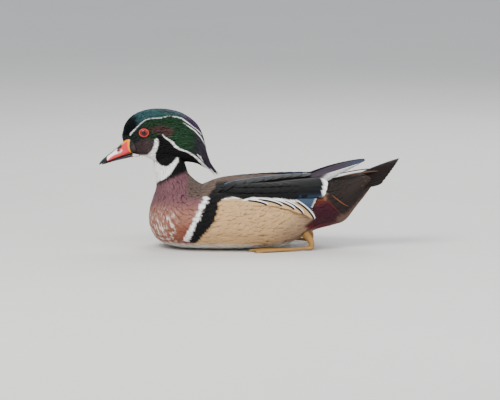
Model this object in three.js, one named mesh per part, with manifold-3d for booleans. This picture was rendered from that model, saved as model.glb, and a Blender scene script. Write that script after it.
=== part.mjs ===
// Wood duck drake resting on its belly with its feet tucked under, life size, in millimetres.
// +Z is up, the bill points along -X, and the bird's left side is on -Y.
// Flesh and plumage are ladders of oval sections: each rung joins a point on the back
// to a point on the throat or belly, and carries its half width and roundness.
import * as THREE from "three";
import { mergeVertices } from "three/addons/utils/BufferGeometryUtils.js";
import Module from "manifold-3d";

const wasm = await Module();
wasm.setup();

// Driving dimensions
const GAP = 0.32; // clearance that neighbouring nodes keep
const FLOOR = 0; // the level the belly and the feet rest on
const EYE_RADIUS = 6.1;
const EYE_AT = [-125.6, 138.6]; // x and z of the eye's centre
const EYE_OUT = 2.3; // how far the eyeball stands out of the feathered skin
const LID_RADIUS = 5.6;
const LID_THICK = 0.85;
const NOSTRIL_AT = [-155.2, 117.6];
const NOSTRIL_LONG = 2.4;
const NOSTRIL_HIGH = 1.15;
const VANE_THICK = 0.7;
const VANE_STATIONS = [0, 0.35, 0.7, 0.9, 1]; // where along a feather its sections are
const SHORT_STATIONS = [0, 0.5, 0.85, 1];
const CREST_CUT = [[-84, 158], [0.97, -0.24]]; // a point of the cut, and the way behind it
const THROAT_CUT = [[-97, 103], [-0.14, -0.99]];
const SHOULDER_CUT = [[-86, 69], [0.22, -0.975]];
const RUMP_CUT = [[92, 50], [1, 0.12]];

// Rungs: back x, back z, front x, front z, half width, widest at, upper and lower roundness
const HEAD = [
  [-151.6, 125.5, -146, 117.5, 1.6, 0.45, 2, 2],
  [-152.7, 130.5, -141, 112.4, 4.4, 0.42, 2, 2],
  [-151.8, 138, -136, 110.2, 8, 0.42, 2, 2],
  [-149.2, 147, -128.5, 108.8, 12.6, 0.4, 2, 2.1],
  [-143, 155.4, -121.5, 106.6, 16.2, 0.38, 2, 2.1],
  [-133.5, 161.6, -115.5, 103.2, 18.3, 0.38, 2, 2.1],
  [-121, 165.4, -108.5, 100, 19.4, 0.4, 2, 2.1],
  [-107.5, 166.4, -101, 98.2, 19.4, 0.43, 2, 2.1],
  [-94, 165.2, -92.5, 98, 18.2, 0.47, 2, 2.1],
  [-80, 160.8, -82, 99.6, 15.8, 0.5, 2, 2.1],
  [-68.5, 153.6, -72, 101, 13, 0.52, 2, 2],
  [-60, 144.5, -65, 100, 10, 0.53, 2, 2],
  [-55, 133.5, -59, 97.6, 7.6, 0.53, 2, 2],
  [-52, 121.5, -54, 95.2, 5.6, 0.5, 2, 2],
  [-49.4, 110.5, -49.5, 93.2, 3.8, 0.5, 2, 2],
  [-45.5, 99.8, -45.6, 91.2, 2.2, 0.5, 2, 2],
  [-41.4, 91.6, -42.4, 89.8, 0.8, 0.5, 2, 2],
];
const BODY = [
  [-90, 122, -112, 118, 13, 0.5, 2, 2],
  [-79, 110, -115.5, 104, 16.5, 0.5, 2, 2],
  [-75.4, 97.5, -114, 92.5, 18, 0.5, 2, 2],
  [-72.5, 88.5, -112, 81.5, 20, 0.49, 2, 2],
  [-66, 81.5, -112, 71, 25, 0.48, 2, 2],
  [-59, 76.5, -115.8, 58.5, 33.5, 0.46, 2, 2],
  [-53.5, 75, -120, 43, 42.5, 0.44, 2.05, 2],
  [-48, 77.5, -119.4, 25, 51, 0.43, 2.1, 2.05],
  [-40, 81, -110, 9, 58.5, 0.42, 2.15, 2.15],
  [-26, 84, -86, 0, 64.5, 0.41, 2.2, 2.3],
  [-5, 85.4, -46, -2, 68.5, 0.41, 2.25, 2.4],
  [20, 86.6, 0, -2, 68.5, 0.41, 2.25, 2.4],
  [46, 86.4, 33, -1, 64.5, 0.42, 2.2, 2.3],
  [68, 85, 58, 9, 56, 0.44, 2.15, 2.15],
  [86, 82.5, 79, 20, 46.5, 0.46, 2.1, 2.1],
  [102, 83, 99, 25.2, 37.5, 0.48, 2, 2],
  [118, 86, 115, 31, 30.5, 0.5, 2, 2],
  [133, 88.6, 128, 47, 25.5, 0.54, 2, 2],
  [145, 89.6, 139, 61, 20.5, 0.6, 2, 2],
  [152, 90, 147.5, 73, 17.5, 0.6, 2, 2],
  [156, 90, 153.5, 80, 13, 0.55, 2, 2],
];
const BILL = [
  [-140.6, 133, -134, 113.8, 10.6, 0.42, 4, 2.6],
  [-146.5, 129.8, -141.5, 112.6, 9.9, 0.4, 3.4, 2.6],
  [-153.4, 123.4, -148.4, 110.4, 8.9, 0.36, 2.6, 3],
  [-160, 117.2, -155, 108.2, 8.3, 0.32, 2.2, 3],
  [-166.4, 112.2, -161.6, 105.9, 8.1, 0.28, 2.2, 3],
  [-171.6, 108.2, -168, 103.4, 8, 0.28, 2.2, 3],
  [-176, 104.4, -173.6, 101.2, 6.6, 0.3, 2.2, 3],
  [-178.8, 101.2, -177.6, 99.2, 4.2, 0.35, 2, 2.4],
  [-180, 98.9, -179.5, 98, 1.6, 0.5, 2, 2],
];
const LOWER_BILL = [
  [-132, 113.4, -131, 108.6, 8.2, 0.5, 2.4, 2],
  [-141.4, 112.2, -140.2, 107.4, 8, 0.6, 2.6, 2],
  [-148.3, 110, -147.4, 105.8, 7.4, 0.6, 2.8, 2],
  [-155, 107.8, -154.3, 104.3, 6.9, 0.6, 2.8, 2],
  [-161.6, 105.5, -161, 102.7, 6.7, 0.6, 2.8, 2],
  [-168, 103, -167.5, 100.8, 6.4, 0.6, 2.8, 2],
  [-173.4, 100.8, -173.1, 99.1, 5, 0.5, 2.4, 2],
  [-176.6, 99.3, -176.4, 98.3, 2.6, 0.5, 2, 2],
];
// The outer form of the folded wings, with upright rungs
const FOLDED = [
  [-66, 68, -66, 0, 54, 0.42, 2.1, 2],
  [-46, 80, -46, 0, 62, 0.42, 2.1, 2],
  [-24, 85.8, -24, 0, 66.6, 0.41, 2.15, 2],
  [0, 87.4, 0, 0, 68.8, 0.41, 2.15, 2],
  [25, 88.6, 25, 0, 68, 0.41, 2.15, 2],
  [50, 89.4, 50, 0, 64, 0.42, 2.1, 2],
  [74, 89.6, 74, 0, 55.5, 0.44, 2.1, 2],
  [96, 88.8, 96, 0, 45, 0.48, 2.1, 2],
  [116, 87.4, 116, 0, 36, 0.5, 2, 2],
];
// The wing's depth, the deeper bed it lies in, and the bed's edges as places and angles on the
// folded form: the upper edge runs beside the spine and the lower one along the top of the flank
const WING_DEPTH = 4.6;
const BED_DEPTH = 5.5;
const BED_TOP = [[0.5, 0.74], [2, 0.38], [4, 0.18], [5.3, 0.05], [7, 0.05]];
const BED_BOTTOM = [[0.55, 1.04], [2, 1.01], [4, 1], [5.4, 1.17], [6.1, 1.27], [6.9, 0.9]];
const BED_ROWS = 10;
const BED_COLUMNS = 5;
const FOLDED_RADIUS = 66; // roughly, to turn a distance round the folded form into an angle
// Rows of wing feathers: how many, the first root and tip as x and angle, the step from one
// to the next, width, how far they stand at root and tip, bluntness and tilt
const WING_ROWS = [
  { name: "secondaries", count: 3, root: [34, 0.86], tip: [81, 1.0], step: [2, 0.05, -3.4, 0.11],
    width: 8, lifts: [-3.6, -1.4], blunt: 3, tilt: 0.14 },
  { name: "tertials", count: 4, root: [44, 0.8], tip: [93.5, 0.9], step: [-1, -0.16, 0.3, -0.19],
    width: 12.5, lifts: [-3.4, 0], blunt: 4, tilt: 0.09 },
  { name: "lower coverts", count: 4, root: [-48, 0.91], tip: [-2, 0.86], step: [21, 0, 21, 0.01],
    width: 11, lifts: [-3.4, -0.3], blunt: 2.5, tilt: 0.06 },
  { name: "middle scapulars", count: 4, root: [-44, 0.81], tip: [5, 0.68], step: [20, -0.03, 20, -0.01],
    width: 11, lifts: [-3.4, 0], blunt: 2.2, tilt: 0.06 },
  { name: "upper scapulars", count: 3, root: [-30, 0.62], tip: [20, 0.46], step: [22, -0.06, 23, -0.05],
    width: 12, lifts: [-3.4, 0.2], blunt: 2, tilt: 0.06 },
];
// The block the primaries leave, as places and angles, and the primaries
const BLOCK_X = [54, 78];
const BLOCK_ANGLES = [0.14, 0.66];
const PRIMARY_COUNT = 4;
const PRIMARY_ROOT = [66, -16, 83.6];
const PRIMARY_TIP = [139, -5.5, 104.5];
const PRIMARY_STEP = [-10.5, -2.6, -6.2]; // from one tip to the next
const PRIMARY_FACE = new THREE.Vector3(-0.25, -0.68, 0.68);
const PRIMARY_STACK = 0.7; // how far below the last each next one lies

// Tiers of crest feathers: where they start and end along the head's ladder, their angles,
// their width and bluntness, and how far they stand off the head's form at each end
const bothSides = (angles) => angles.flatMap((angle) => (angle % Math.PI ? [angle, -angle] : [angle]));
const CREST_TIERS = [
  { from: 6.6, to: 9.8, angles: bothSides([0, 0.75, 1.3, 1.8, 2.35]),
    width: 12, blunt: 2, lifts: [-0.1, 0.7] },
  { from: 7.8, to: 11.8, angles: bothSides([0.4, 1.05, 1.58, 2.15]),
    width: 10.5, blunt: 1.7, lifts: [-2.8, 0.4] },
  { from: 9.3, to: 13.8, angles: bothSides([0, 0.9, 1.6, 2.3]), width: 8, blunt: 1.5, lifts: [-3.2, 0] },
  { from: 11, to: 15.7, angles: bothSides([0.5, 1.55]), width: 5.4, blunt: 1.3, lifts: [-3, -0.3] },
];
// Flank feathers: the first and last tip's x and angle, and their length
const FLANK_COUNT = 7;
const FLANK_X = [-10, 77];
const FLANK_TURN = [1.2, 1.5];
const FLANK_LONG = 30;
// Rows of feathers round the root of the tail, by place and angle on the body's ladder
const RUMP_ROWS = [
  { from: 15.2, to: 16.6, angles: bothSides([0, 0.55]), width: 13 },
  { from: 15.6, to: 17, angles: bothSides([0.25, 0.8]), width: 12 },
  { from: 15.6, to: 17.7, angles: bothSides([1.3, 1.8]), width: 11 },
  { from: 15.8, to: 19, angles: bothSides([2.25, Math.PI]), width: 11 },
];
// The tail: its root and its middle tip as x, half width and height, how far the fan arches
// down to its sides at each, and how much shorter the outer feathers are
const TAIL_ROOT = [132, 14, 88];
const TAIL_TIP = [180, 29, 106];
const TAIL_ARCH = [14, 24];
const TAIL_STEP = 20;
// Where the fan starts, its depth at root and tip, how far past the outer feathers' middle lines
// it spreads, and its steps across and along
const TAIL_START = 0.22;
const TAIL_DEPTH = [2.8, 1.4];
const TAIL_SPREAD = 1.1;
const TAIL_GRID = [8, 5];
const TOE_JOINT = [44, -51, 2.2];
const HOCK = [75, -40, 3.4];
const HEAD_GRID = { steps: 22, around: 20 };
const BODY_GRID = { steps: 34, around: 26 };
const BILL_GRID = { steps: 14, around: 14 };

const colour = (r, g, b, roughness = 0.6, metalness = 0) =>
  new THREE.MeshStandardMaterial({ color: new THREE.Color(r, g, b), roughness, metalness });
const FINISH = {
  crown: colour(0.02, 0.09, 0.06, 0.4, 0.2),
  crest: colour(0.07, 0.05, 0.1, 0.4, 0.2),
  neck: colour(0.2, 0.08, 0.1),
  body: colour(0.5, 0.37, 0.23, 0.7),
  rump: colour(0.11, 0.05, 0.06),
  wing: colour(0.015, 0.018, 0.022, 0.4, 0.1),
  tail: colour(0.035, 0.03, 0.028, 0.5),
  bill: colour(0.75, 0.2, 0.22, 0.35),
  jaw: colour(0.03, 0.03, 0.03, 0.4),
  eye: colour(0.65, 0.04, 0.03, 0.1),
  foot: colour(0.6, 0.36, 0.06, 0.5),
};

// The rung at a place along a ladder, by a smooth curve through its rungs.
function rungAt(ladder, s) {
  const i = Math.min(Math.max(Math.floor(s), 0), ladder.length - 2);
  const t = s - i;
  const [a, b, c, d] = [-1, 0, 1, 2].map((k) => ladder[Math.min(Math.max(i + k, 0), ladder.length - 1)]);
  return b.map((q, n) => {
    const slopeIn = (c[n] - a[n]) / 2;
    const slopeOut = (d[n] - q) / 2;
    const rise = c[n] - q;
    const bend = 3 * rise - 2 * slopeIn - slopeOut;
    return q + t * (slopeIn + t * (bend + t * (slopeIn + slopeOut - 2 * rise)));
  });
}

// A point of a ladder's skin. The angle runs from the back over the left side to the belly.
function skin(ladder, s, angle, grow = 0) {
  const [bx, bz, fx, fz, half, widest, upper, lower] = rungAt(ladder, s);
  const [c, q] = [Math.cos(angle), Math.sin(angle)];
  const power = 2 / (c >= 0 ? upper : lower);
  const up = Math.sign(c) * Math.abs(c) ** power;
  const side = Math.sign(q) * Math.abs(q) ** power;
  const long = Math.hypot(bx - fx, bz - fz);
  const reach = (c >= 0 ? 1 - widest : widest) + grow / long;
  return new THREE.Vector3(
    fx + (bx - fx) * (widest + up * reach),
    -(half + grow) * side,
    Math.max(fz + (bz - fz) * (widest + up * reach), FLOOR),
  );
}

// The outward normal of a ladder's skin, from the slopes along it and round it.
function normalAt(ladder, s, angle) {
  const e = 0.01;
  const along = skin(ladder, s + e, angle).sub(skin(ladder, s - e, angle));
  const round = skin(ladder, s, angle + e).sub(skin(ladder, s, angle - e));
  return round.cross(along).normalize();
}

// A solid from rings of points, each end closed by a fan to its middle. The second half of
// a ring has its squares split the other way, so that left and right, or the two faces
// of a thin vane, are split alike.
function solidOfRings(rings) {
  const m = rings[0].length;
  const middle = (ring) => ring.reduce((sum, p) => sum.add(p), new THREE.Vector3()).divideScalar(m);
  const points = rings.flat();
  const [first, last] = [points.length, points.length + 1];
  points.push(middle(rings[0]), middle(rings[rings.length - 1]));
  const faces = [];
  for (let j = 0; j < m; j++) {
    const k = (j + 1) % m;
    faces.push(first, k, j);
    for (let i = 0; i < rings.length - 1; i++) {
      const [p, q] = [i * m, (i + 1) * m];
      if (j < m / 2) faces.push(p + j, p + k, q + k, p + j, q + k, q + j);
      else faces.push(p + j, p + k, q + j, p + k, q + k, q + j);
    }
    const end = (rings.length - 1) * m;
    faces.push(last, end + j, end + k);
  }
  const geometry = new THREE.BufferGeometry().setFromPoints(points);
  geometry.setIndex(faces);
  return solidOf(geometry);
}

// A manifold solid of a closed geometry, turned face out where it is inside out.
function solidOf(geometry) {
  const bare = geometry.clone();
  bare.deleteAttribute("normal");
  bare.deleteAttribute("uv");
  const merged = mergeVertices(bare, 1e-3);
  const index = merged.index.array;
  const kept = [];
  for (let i = 0; i < index.length; i += 3) {
    const [a, b, c] = [index[i], index[i + 1], index[i + 2]];
    if (a !== b && b !== c && c !== a) kept.push(a, b, c);
  }
  const positions = merged.attributes.position.array;
  const made = new wasm.Manifold(
    new wasm.Mesh({ numProp: 3, vertProperties: positions, triVerts: new Uint32Array(kept) }),
  );
  if (made.volume() >= 0) return made;
  for (let i = 0; i < kept.length; i += 3) [kept[i + 1], kept[i + 2]] = [kept[i + 2], kept[i + 1]];
  return new wasm.Manifold(
    new wasm.Mesh({ numProp: 3, vertProperties: positions, triVerts: new Uint32Array(kept) }),
  );
}

// A ladder's body, whole or between two places. A grown one is also longer at both ends.
function bodyOf(ladder, { steps, around, grow = 0, from = 0, to = ladder.length - 1 }) {
  const rings = [];
  for (let i = 0; i <= steps; i++) {
    const s = from + ((to - from) * i) / steps;
    rings.push(Array.from({ length: around }, (_, j) => skin(ladder, s, (2 * Math.PI * j) / around, grow)));
  }
  if (grow > 0) {
    const longer = (ring, sign) => {
      const rung = ring[0].clone().sub(ring[around / 2]);
      const way = new THREE.Vector3(-rung.z, 0, rung.x).normalize();
      return ring.map((p) => p.clone().addScaledVector(way, sign * grow));
    };
    rings.unshift(longer(rings[0], 1));
    rings.push(longer(rings[rings.length - 1], -1));
  }
  return solidOfRings(rings);
}

// The largest closed surface of a solid.
function largest(solid) {
  const parts = solid.decompose();
  return parts.reduce((best, part) => (part.volume() > best.volume() ? part : best));
}

// What is left of a solid on one side of a plane across the bird, less half the clearance.
function keepSide(solid, [[x, z], [dx, dz]], side, clear = GAP / 2) {
  const size = 700;
  const box = new THREE.BoxGeometry(size, size, size).translate(0, 0, -size / 2 + clear);
  const way = new THREE.Vector3(dx * side, 0, dz * side).normalize();
  box.applyQuaternion(new THREE.Quaternion().setFromUnitVectors(new THREE.Vector3(0, 0, 1), way));
  box.translate(x, 0, z);
  return solid.subtract(solidOf(box));
}

// The place on the left of a ladder's skin that a side view shows at x and z.
function placeAt(ladder, x, z) {
  let best = { off: Infinity };
  for (let s = 0; s <= ladder.length - 1; s += 0.05) {
    for (let angle = 0.05; angle < Math.PI; angle += 0.05) {
      const p = skin(ladder, s, angle);
      const off = Math.hypot(p.x - x, p.z - z);
      if (off < best.off) best = { off, s, angle, p };
    }
  }
  return best;
}

// How wide a feather is along its length. A high bluntness gives a round tip, 1 a point.
function vaneWidth(t, blunt) {
  const rise = 0.55 + 0.45 * Math.sin((Math.min(t / 0.5, 1) * Math.PI) / 2);
  const fall = t < 0.5 ? 1 : Math.sqrt(1 - ((t - 0.5) / 0.5) ** blunt);
  return Math.max(rise * fall, 0.1);
}

// A feather's vane. The place gives the point a way along it, across it and above its face.
// The tilt raises one edge, so that neighbours in a row lie over one another like shingles.
function vane(place, { width, thick = VANE_THICK, blunt = 2.5, tilt = 0, stations = VANE_STATIONS }) {
  const rings = stations.map((t) => {
    const half = (width / 2) * vaneWidth(t, blunt);
    return [[-half, 0], [half, 0], [half, -thick], [-half, -thick]].map(([off, height]) =>
      place(t, off, height + tilt * off),
    );
  });
  return solidOfRings(rings);
}

// Places on a feather laid along a ladder's skin from its root to its tip, each a place
// along the ladder and an angle. It rises from one lift to another and can bow sideways.
function laid(ladder, root, tip, [rootLift, tipLift], bow = 0) {
  const middle = (t) => [
    root[0] + (tip[0] - root[0]) * t,
    root[1] + (tip[1] - root[1]) * t + bow * Math.sin(Math.PI * t),
  ];
  const step = 0.02;
  return (t, off, height) => {
    const [s, angle] = middle(t);
    const along = skin(ladder, s + step, angle).sub(skin(ladder, s - step, angle)).divideScalar(2 * step);
    const round = skin(ladder, s, angle + step).sub(skin(ladder, s, angle - step)).divideScalar(2 * step);
    const [s1, angle1] = middle(t + step);
    const run = along.clone().multiplyScalar(s1 - s).addScaledVector(round, angle1 - angle);
    const across = along.clone().cross(round).cross(run).normalize().multiplyScalar(off);
    const [aa, ar, rr] = [along.dot(along), along.dot(round), round.dot(round)];
    const [ta, tr] = [along.dot(across), round.dot(across)];
    const det = aa * rr - ar * ar;
    const [ds, da] = [(ta * rr - tr * ar) / det, (tr * aa - ta * ar) / det];
    const lift = rootLift + (tipLift - rootLift) * t + height;
    return skin(ladder, s + ds, angle + da).addScaledVector(normalAt(ladder, s, angle), lift);
  };
}

// Places on a feather that stands free in the air from its root to its tip, with its face
// towards a direction.
function free(root, tip, face) {
  const run = tip.clone().sub(root);
  const across = face.clone().cross(run).normalize();
  const up = run.clone().cross(across).normalize();
  return (t, off, height) =>
    root.clone().addScaledVector(run, t).addScaledVector(across, off).addScaledVector(up, height);
}

const joined = (solids) => solids.reduce((sum, solid) => sum.add(solid));

function mirrored(solid) {
  const mesh = solid.getMesh();
  const points = new Float32Array(mesh.vertProperties);
  for (let i = 1; i < points.length; i += 3) points[i] = -points[i];
  const faces = new Uint32Array(mesh.triVerts);
  for (let i = 0; i < faces.length; i += 3) [faces[i + 1], faces[i + 2]] = [faces[i + 2], faces[i + 1]];
  return new wasm.Manifold(new wasm.Mesh({ numProp: 3, vertProperties: points, triVerts: faces }));
}

const bird = new THREE.Group();

function addNode(name, solid, material) {
  const mesh = largest(solid).getMesh();
  const geometry = new THREE.BufferGeometry();
  geometry.setAttribute("position", new THREE.BufferAttribute(new Float32Array(mesh.vertProperties), 3));
  geometry.setIndex(new THREE.BufferAttribute(new Uint32Array(mesh.triVerts), 1));
  const node = new THREE.Mesh(geometry, material);
  node.name = name;
  bird.add(node);
}

function addPair(name, left, material) {
  addNode(`${name}_left`, left, material);
  addNode(`${name}_right`, mirrored(left), material);
}

// A blanket over part of a ladder's form, between an upper and a lower edge and two heights.
// The outer height can change along it.
function blanket(ladder, rows, columns, topOf, bottomOf, outer, inner) {
  const rings = [];
  for (let i = 0; i <= rows; i++) {
    const t = i / rows;
    const [top, bottom] = [topOf(t), bottomOf(t)];
    const ring = [];
    const place = (v, lift) => {
      const [s, angle] = [0, 1].map((n) => top[n] + (bottom[n] - top[n]) * v);
      return skin(ladder, s, angle).addScaledVector(normalAt(ladder, s, angle), lift);
    };
    for (let j = 0; j <= columns; j++) ring.push(place(j / columns, outer(t)));
    for (let j = columns; j >= 0; j--) ring.push(place(j / columns, inner));
    rings.push(ring);
  }
  return solidOfRings(rings);
}

// A smooth edge through places on a ladder, moved by some angle.
const edgeOf = (places, moved = 0) => {
  const points = places.map(([s, angle]) => new THREE.Vector3(s, angle + moved, 0));
  const curve = new THREE.CatmullRomCurve3(points);
  return (t) => curve.getPoint(t).toArray();
};
// Flesh: head and body in one, with a bed cut into each side for the folded wing
const headForm = bodyOf(HEAD, HEAD_GRID);
const headGrown = bodyOf(HEAD, { ...HEAD_GRID, grow: GAP });
const bodyForm = bodyOf(BODY, BODY_GRID);
const bodyGrown = bodyOf(BODY, { ...BODY_GRID, grow: GAP });
const bedOf = (shrunk) => {
  const turn = shrunk / FOLDED_RADIUS;
  const [top, bottom] = [edgeOf(BED_TOP, turn), edgeOf(BED_BOTTOM, -turn)];
  return blanket(FOLDED, BED_ROWS, BED_COLUMNS, top, bottom, () => 9, shrunk - BED_DEPTH);
};
const bed = bedOf(0);
const flesh = headForm.add(bodyForm).subtract(bed).subtract(mirrored(bed));

// Eyes sit in sockets with a raised ring of lid round each
const eyePlace = placeAt(HEAD, ...EYE_AT);
const eyeMiddle = eyePlace.p.clone();
eyeMiddle.y += EYE_RADIUS - EYE_OUT;
const ball = (radius) => {
  const sphere = new THREE.SphereGeometry(radius, 12, 8);
  return solidOf(sphere.rotateX(Math.PI / 2).translate(eyeMiddle.x, eyeMiddle.y, eyeMiddle.z));
};
const lid = solidOf(
  new THREE.TorusGeometry(LID_RADIUS, LID_THICK, 5, 16)
    .rotateX(Math.PI / 2)
    .translate(eyeMiddle.x, eyePlace.p.y + 0.2, eyeMiddle.z),
);
const socket = ball(EYE_RADIUS + GAP);

function makeHead() {
  const block = keepSide(keepSide(flesh, CREST_CUT, -1), THROAT_CUT, -1);
  const lids = lid.add(mirrored(lid));
  return block.add(lids).subtract(socket).subtract(mirrored(socket));
}

// Crest: a core below the tips, and tiers of feathers that overlap along its lie
function makeCrest() {
  const hood = bodyOf(HEAD, { steps: 1, around: 20, from: 6.8, to: 8.1, grow: -0.6 });
  const core = bodyOf(HEAD, { steps: 5, around: 14, from: 7, to: 12, grow: -2.6 });
  const vanes = CREST_TIERS.flatMap(({ from, to, angles, width, blunt, lifts }) =>
    angles.map((angle) => {
      const place = laid(HEAD, [from, angle], [to, angle], lifts);
      return vane(place, { width, thick: 0.8, blunt, stations: SHORT_STATIONS });
    }),
  );
  return keepSide(joined([hood, core, ...vanes]), CREST_CUT, 1);
}

// The neck stays clear of the crest that hangs over it.
function makeNeck() {
  const crestGrown = keepSide(headGrown, CREST_CUT, 1, -GAP / 2);
  return keepSide(keepSide(flesh, THROAT_CUT, 1), SHOULDER_CUT, -1).subtract(crestGrown);
}

// Torso: long feathers along the top of each flank lie along the wing's lower edge
function makeTorso() {
  const trunk = keepSide(keepSide(flesh, SHOULDER_CUT, 1), RUMP_CUT, -1);
  const vanes = Array.from({ length: FLANK_COUNT }, (_, k) => {
    const t = k / (FLANK_COUNT - 1);
    const x = FLANK_X[0] + (FLANK_X[1] - FLANK_X[0]) * t;
    const angle = FLANK_TURN[0] + (FLANK_TURN[1] - FLANK_TURN[0]) * t ** 2.2;
    const root = [foldedAt(x - FLANK_LONG), FLANK_TURN[0] + 0.06 * t];
    const place = laid(FOLDED, root, [foldedAt(x), angle], [-3, 1], -0.04);
    return vane(place, { width: 10, thick: 0.8, stations: SHORT_STATIONS });
  });
  return joined([trunk, ...vanes, ...vanes.map(mirrored)]);
}

// Rump: feathers over and under the root of the tail
function makeRump() {
  const vanes = RUMP_ROWS.flatMap(({ from, to, angles, width }) =>
    angles.map((angle) => {
      const place = laid(BODY, [from, angle], [to, angle], [-1.8, 0.9]);
      return vane(place, { width, thick: 0.8, stations: SHORT_STATIONS });
    }),
  );
  return joined([keepSide(flesh, RUMP_CUT, 1), ...vanes]);
}

// Bill: the upper half carries the nostrils, and the lower half shuts against it
function makeBill() {
  const at = placeAt(BILL, ...NOSTRIL_AT);
  const hole = new THREE.CylinderGeometry(1, 1, 5, 12).rotateX(0.5);
  hole.scale(NOSTRIL_LONG, 1, NOSTRIL_HIGH).rotateX(Math.PI / 2).rotateY(0.7);
  hole.translate(at.p.x, at.p.y, at.p.z);
  const nostril = solidOf(hole);
  const form = bodyOf(BILL, BILL_GRID);
  return form.subtract(headGrown).subtract(nostril).subtract(mirrored(nostril));
}

function makeLowerBill() {
  const upper = bodyOf(BILL, { ...BILL_GRID, grow: GAP });
  return bodyOf(LOWER_BILL, { steps: 10, around: 12 }).subtract(headGrown).subtract(upper);
}

const foldedAt = (x) => {
  const next = FOLDED.findIndex((rung) => rung[0] > x);
  return next - 1 + (x - FOLDED[next - 1][0]) / (FOLDED[next][0] - FOLDED[next - 1][0]);
};

// Wing: a core that fills the bed, thick at the shoulder and thin behind it, with a block
// for the primaries, and rows of feathers
function makeWing() {
  const turn = 0.7 / FOLDED_RADIUS;
  const inset = (edge) => (t) => {
    const [s, angle] = edge(t);
    return [s + 0.016 * (1 - 2 * t), angle];
  };
  const [top, bottom] = [edgeOf(BED_TOP, turn), edgeOf(BED_BOTTOM, -turn)].map(inset);
  const outer = (t) => -0.4 - 2.6 * Math.min(t / 0.3, 1);
  const core = blanket(FOLDED, BED_ROWS, BED_COLUMNS, top, bottom, outer, -WING_DEPTH);
  const blockEdges = BLOCK_ANGLES.map((angle) => edgeOf(BLOCK_X.map((x) => [foldedAt(x), angle])));
  const block = blanket(FOLDED, 2, 3, ...blockEdges, () => -1.6, 0.5 - WING_DEPTH);
  const vanes = WING_ROWS.flatMap(({ count, root, tip, step, width, lifts, blunt, tilt }) =>
    Array.from({ length: count }, (_, k) => {
      const from = [foldedAt(root[0] + step[0] * k), root[1] + step[1] * k];
      const to = [foldedAt(tip[0] + step[2] * k), tip[1] + step[3] * k];
      return vane(laid(FOLDED, from, to, lifts), { width, blunt, tilt });
    }),
  );
  const rest = bodyGrown.subtract(bedOf(GAP));
  return largest(joined([core, block, ...vanes, ...makePrimaries()]).subtract(rest));
}

// Primaries: a stack of long feathers that leave the wing under the tertials. The topmost
// reaches furthest, and each next one ends lower and sooner.
function makePrimaries() {
  return Array.from({ length: PRIMARY_COUNT }, (_, k) => {
    const root = new THREE.Vector3(...PRIMARY_ROOT).add(new THREE.Vector3(0, -2, -1.2).multiplyScalar(k));
    const tip = new THREE.Vector3(...PRIMARY_TIP).add(new THREE.Vector3(...PRIMARY_STEP).multiplyScalar(k));
    for (const end of [root, tip]) end.addScaledVector(PRIMARY_FACE, -PRIMARY_STACK * k);
    return vane(free(root, tip, PRIMARY_FACE), { width: 10.5, blunt: 2 });
  });
}

// Tail: one smooth fan, arched across and growing thin out to its tips
function makeTail() {
  const along = (t, v) =>
    new THREE.Vector3(
      TAIL_ROOT[0] + (TAIL_TIP[0] - TAIL_STEP * v * v - TAIL_ROOT[0]) * t,
      (TAIL_ROOT[1] + (TAIL_TIP[1] - TAIL_ROOT[1]) * t) * v,
      TAIL_ROOT[2] +
        (TAIL_TIP[2] - TAIL_ROOT[2]) * t -
        (TAIL_ARCH[0] + (TAIL_ARCH[1] - TAIL_ARCH[0]) * t) * v * v,
    );
  const [across, steps] = TAIL_GRID;
  const rings = Array.from({ length: steps + 1 }, (_, i) => {
    const t = TAIL_START + ((1 - TAIL_START) * i) / steps;
    const deep = TAIL_DEPTH[0] + (TAIL_DEPTH[1] - TAIL_DEPTH[0]) * t;
    const spread = TAIL_SPREAD - 0.1 * t ** 3;
    return Array.from({ length: 2 * across }, (_, j) => {
      const share = j < across ? j : 2 * across - 1 - j;
      const v = ((2 * share) / (across - 1) - 1) * spread;
      return along(t, v).add(new THREE.Vector3(0, 0, j < across ? 0 : -deep));
    });
  });
  return largest(solidOfRings(rings).subtract(bodyGrown));
}

// A round, tapering limb along a few points, each with its radius.
function limb(stations, around = 10) {
  const rings = stations.map(([x, y, z, radius], i) => {
    const [a, b] = [stations[Math.max(i - 1, 0)], stations[Math.min(i + 1, stations.length - 1)]];
    const way = new THREE.Vector3(b[0] - a[0], b[1] - a[1], b[2] - a[2]).normalize();
    const side = new THREE.Vector3(-way.y, way.x, 0).normalize();
    const up = way.clone().cross(side).negate();
    return Array.from({ length: around }, (_, j) => {
      const angle = (2 * Math.PI * j) / around;
      return new THREE.Vector3(x, y, z)
        .addScaledVector(side, radius * Math.cos(angle))
        .addScaledVector(up, radius * Math.sin(angle));
    });
  });
  return solidOfRings(rings);
}

function makeLeg() {
  const [jx, jy, jz] = TOE_JOINT;
  const [hx, hy, hz] = HOCK;
  const shank = limb([
    [jx + 4.6, jy, jz, 2.1], [jx + 9, jy + 1.6, jz + 0.2, 1.9], [hx - 7, hy - 1.4, hz - 0.6, 2.1],
    [hx - 1, hy, hz, 3.1], [hx + 1.6, hy + 0.6, hz + 1.4, 2.6],
  ]);
  const thigh = limb([[hx, hy, hz, 2.8], [hx - 2, hy + 1, hz + 7, 3.8], [hx - 8, hy + 5, hz + 16, 5.5]]);
  return shank.add(thigh).subtract(bodyGrown);
}

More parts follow.
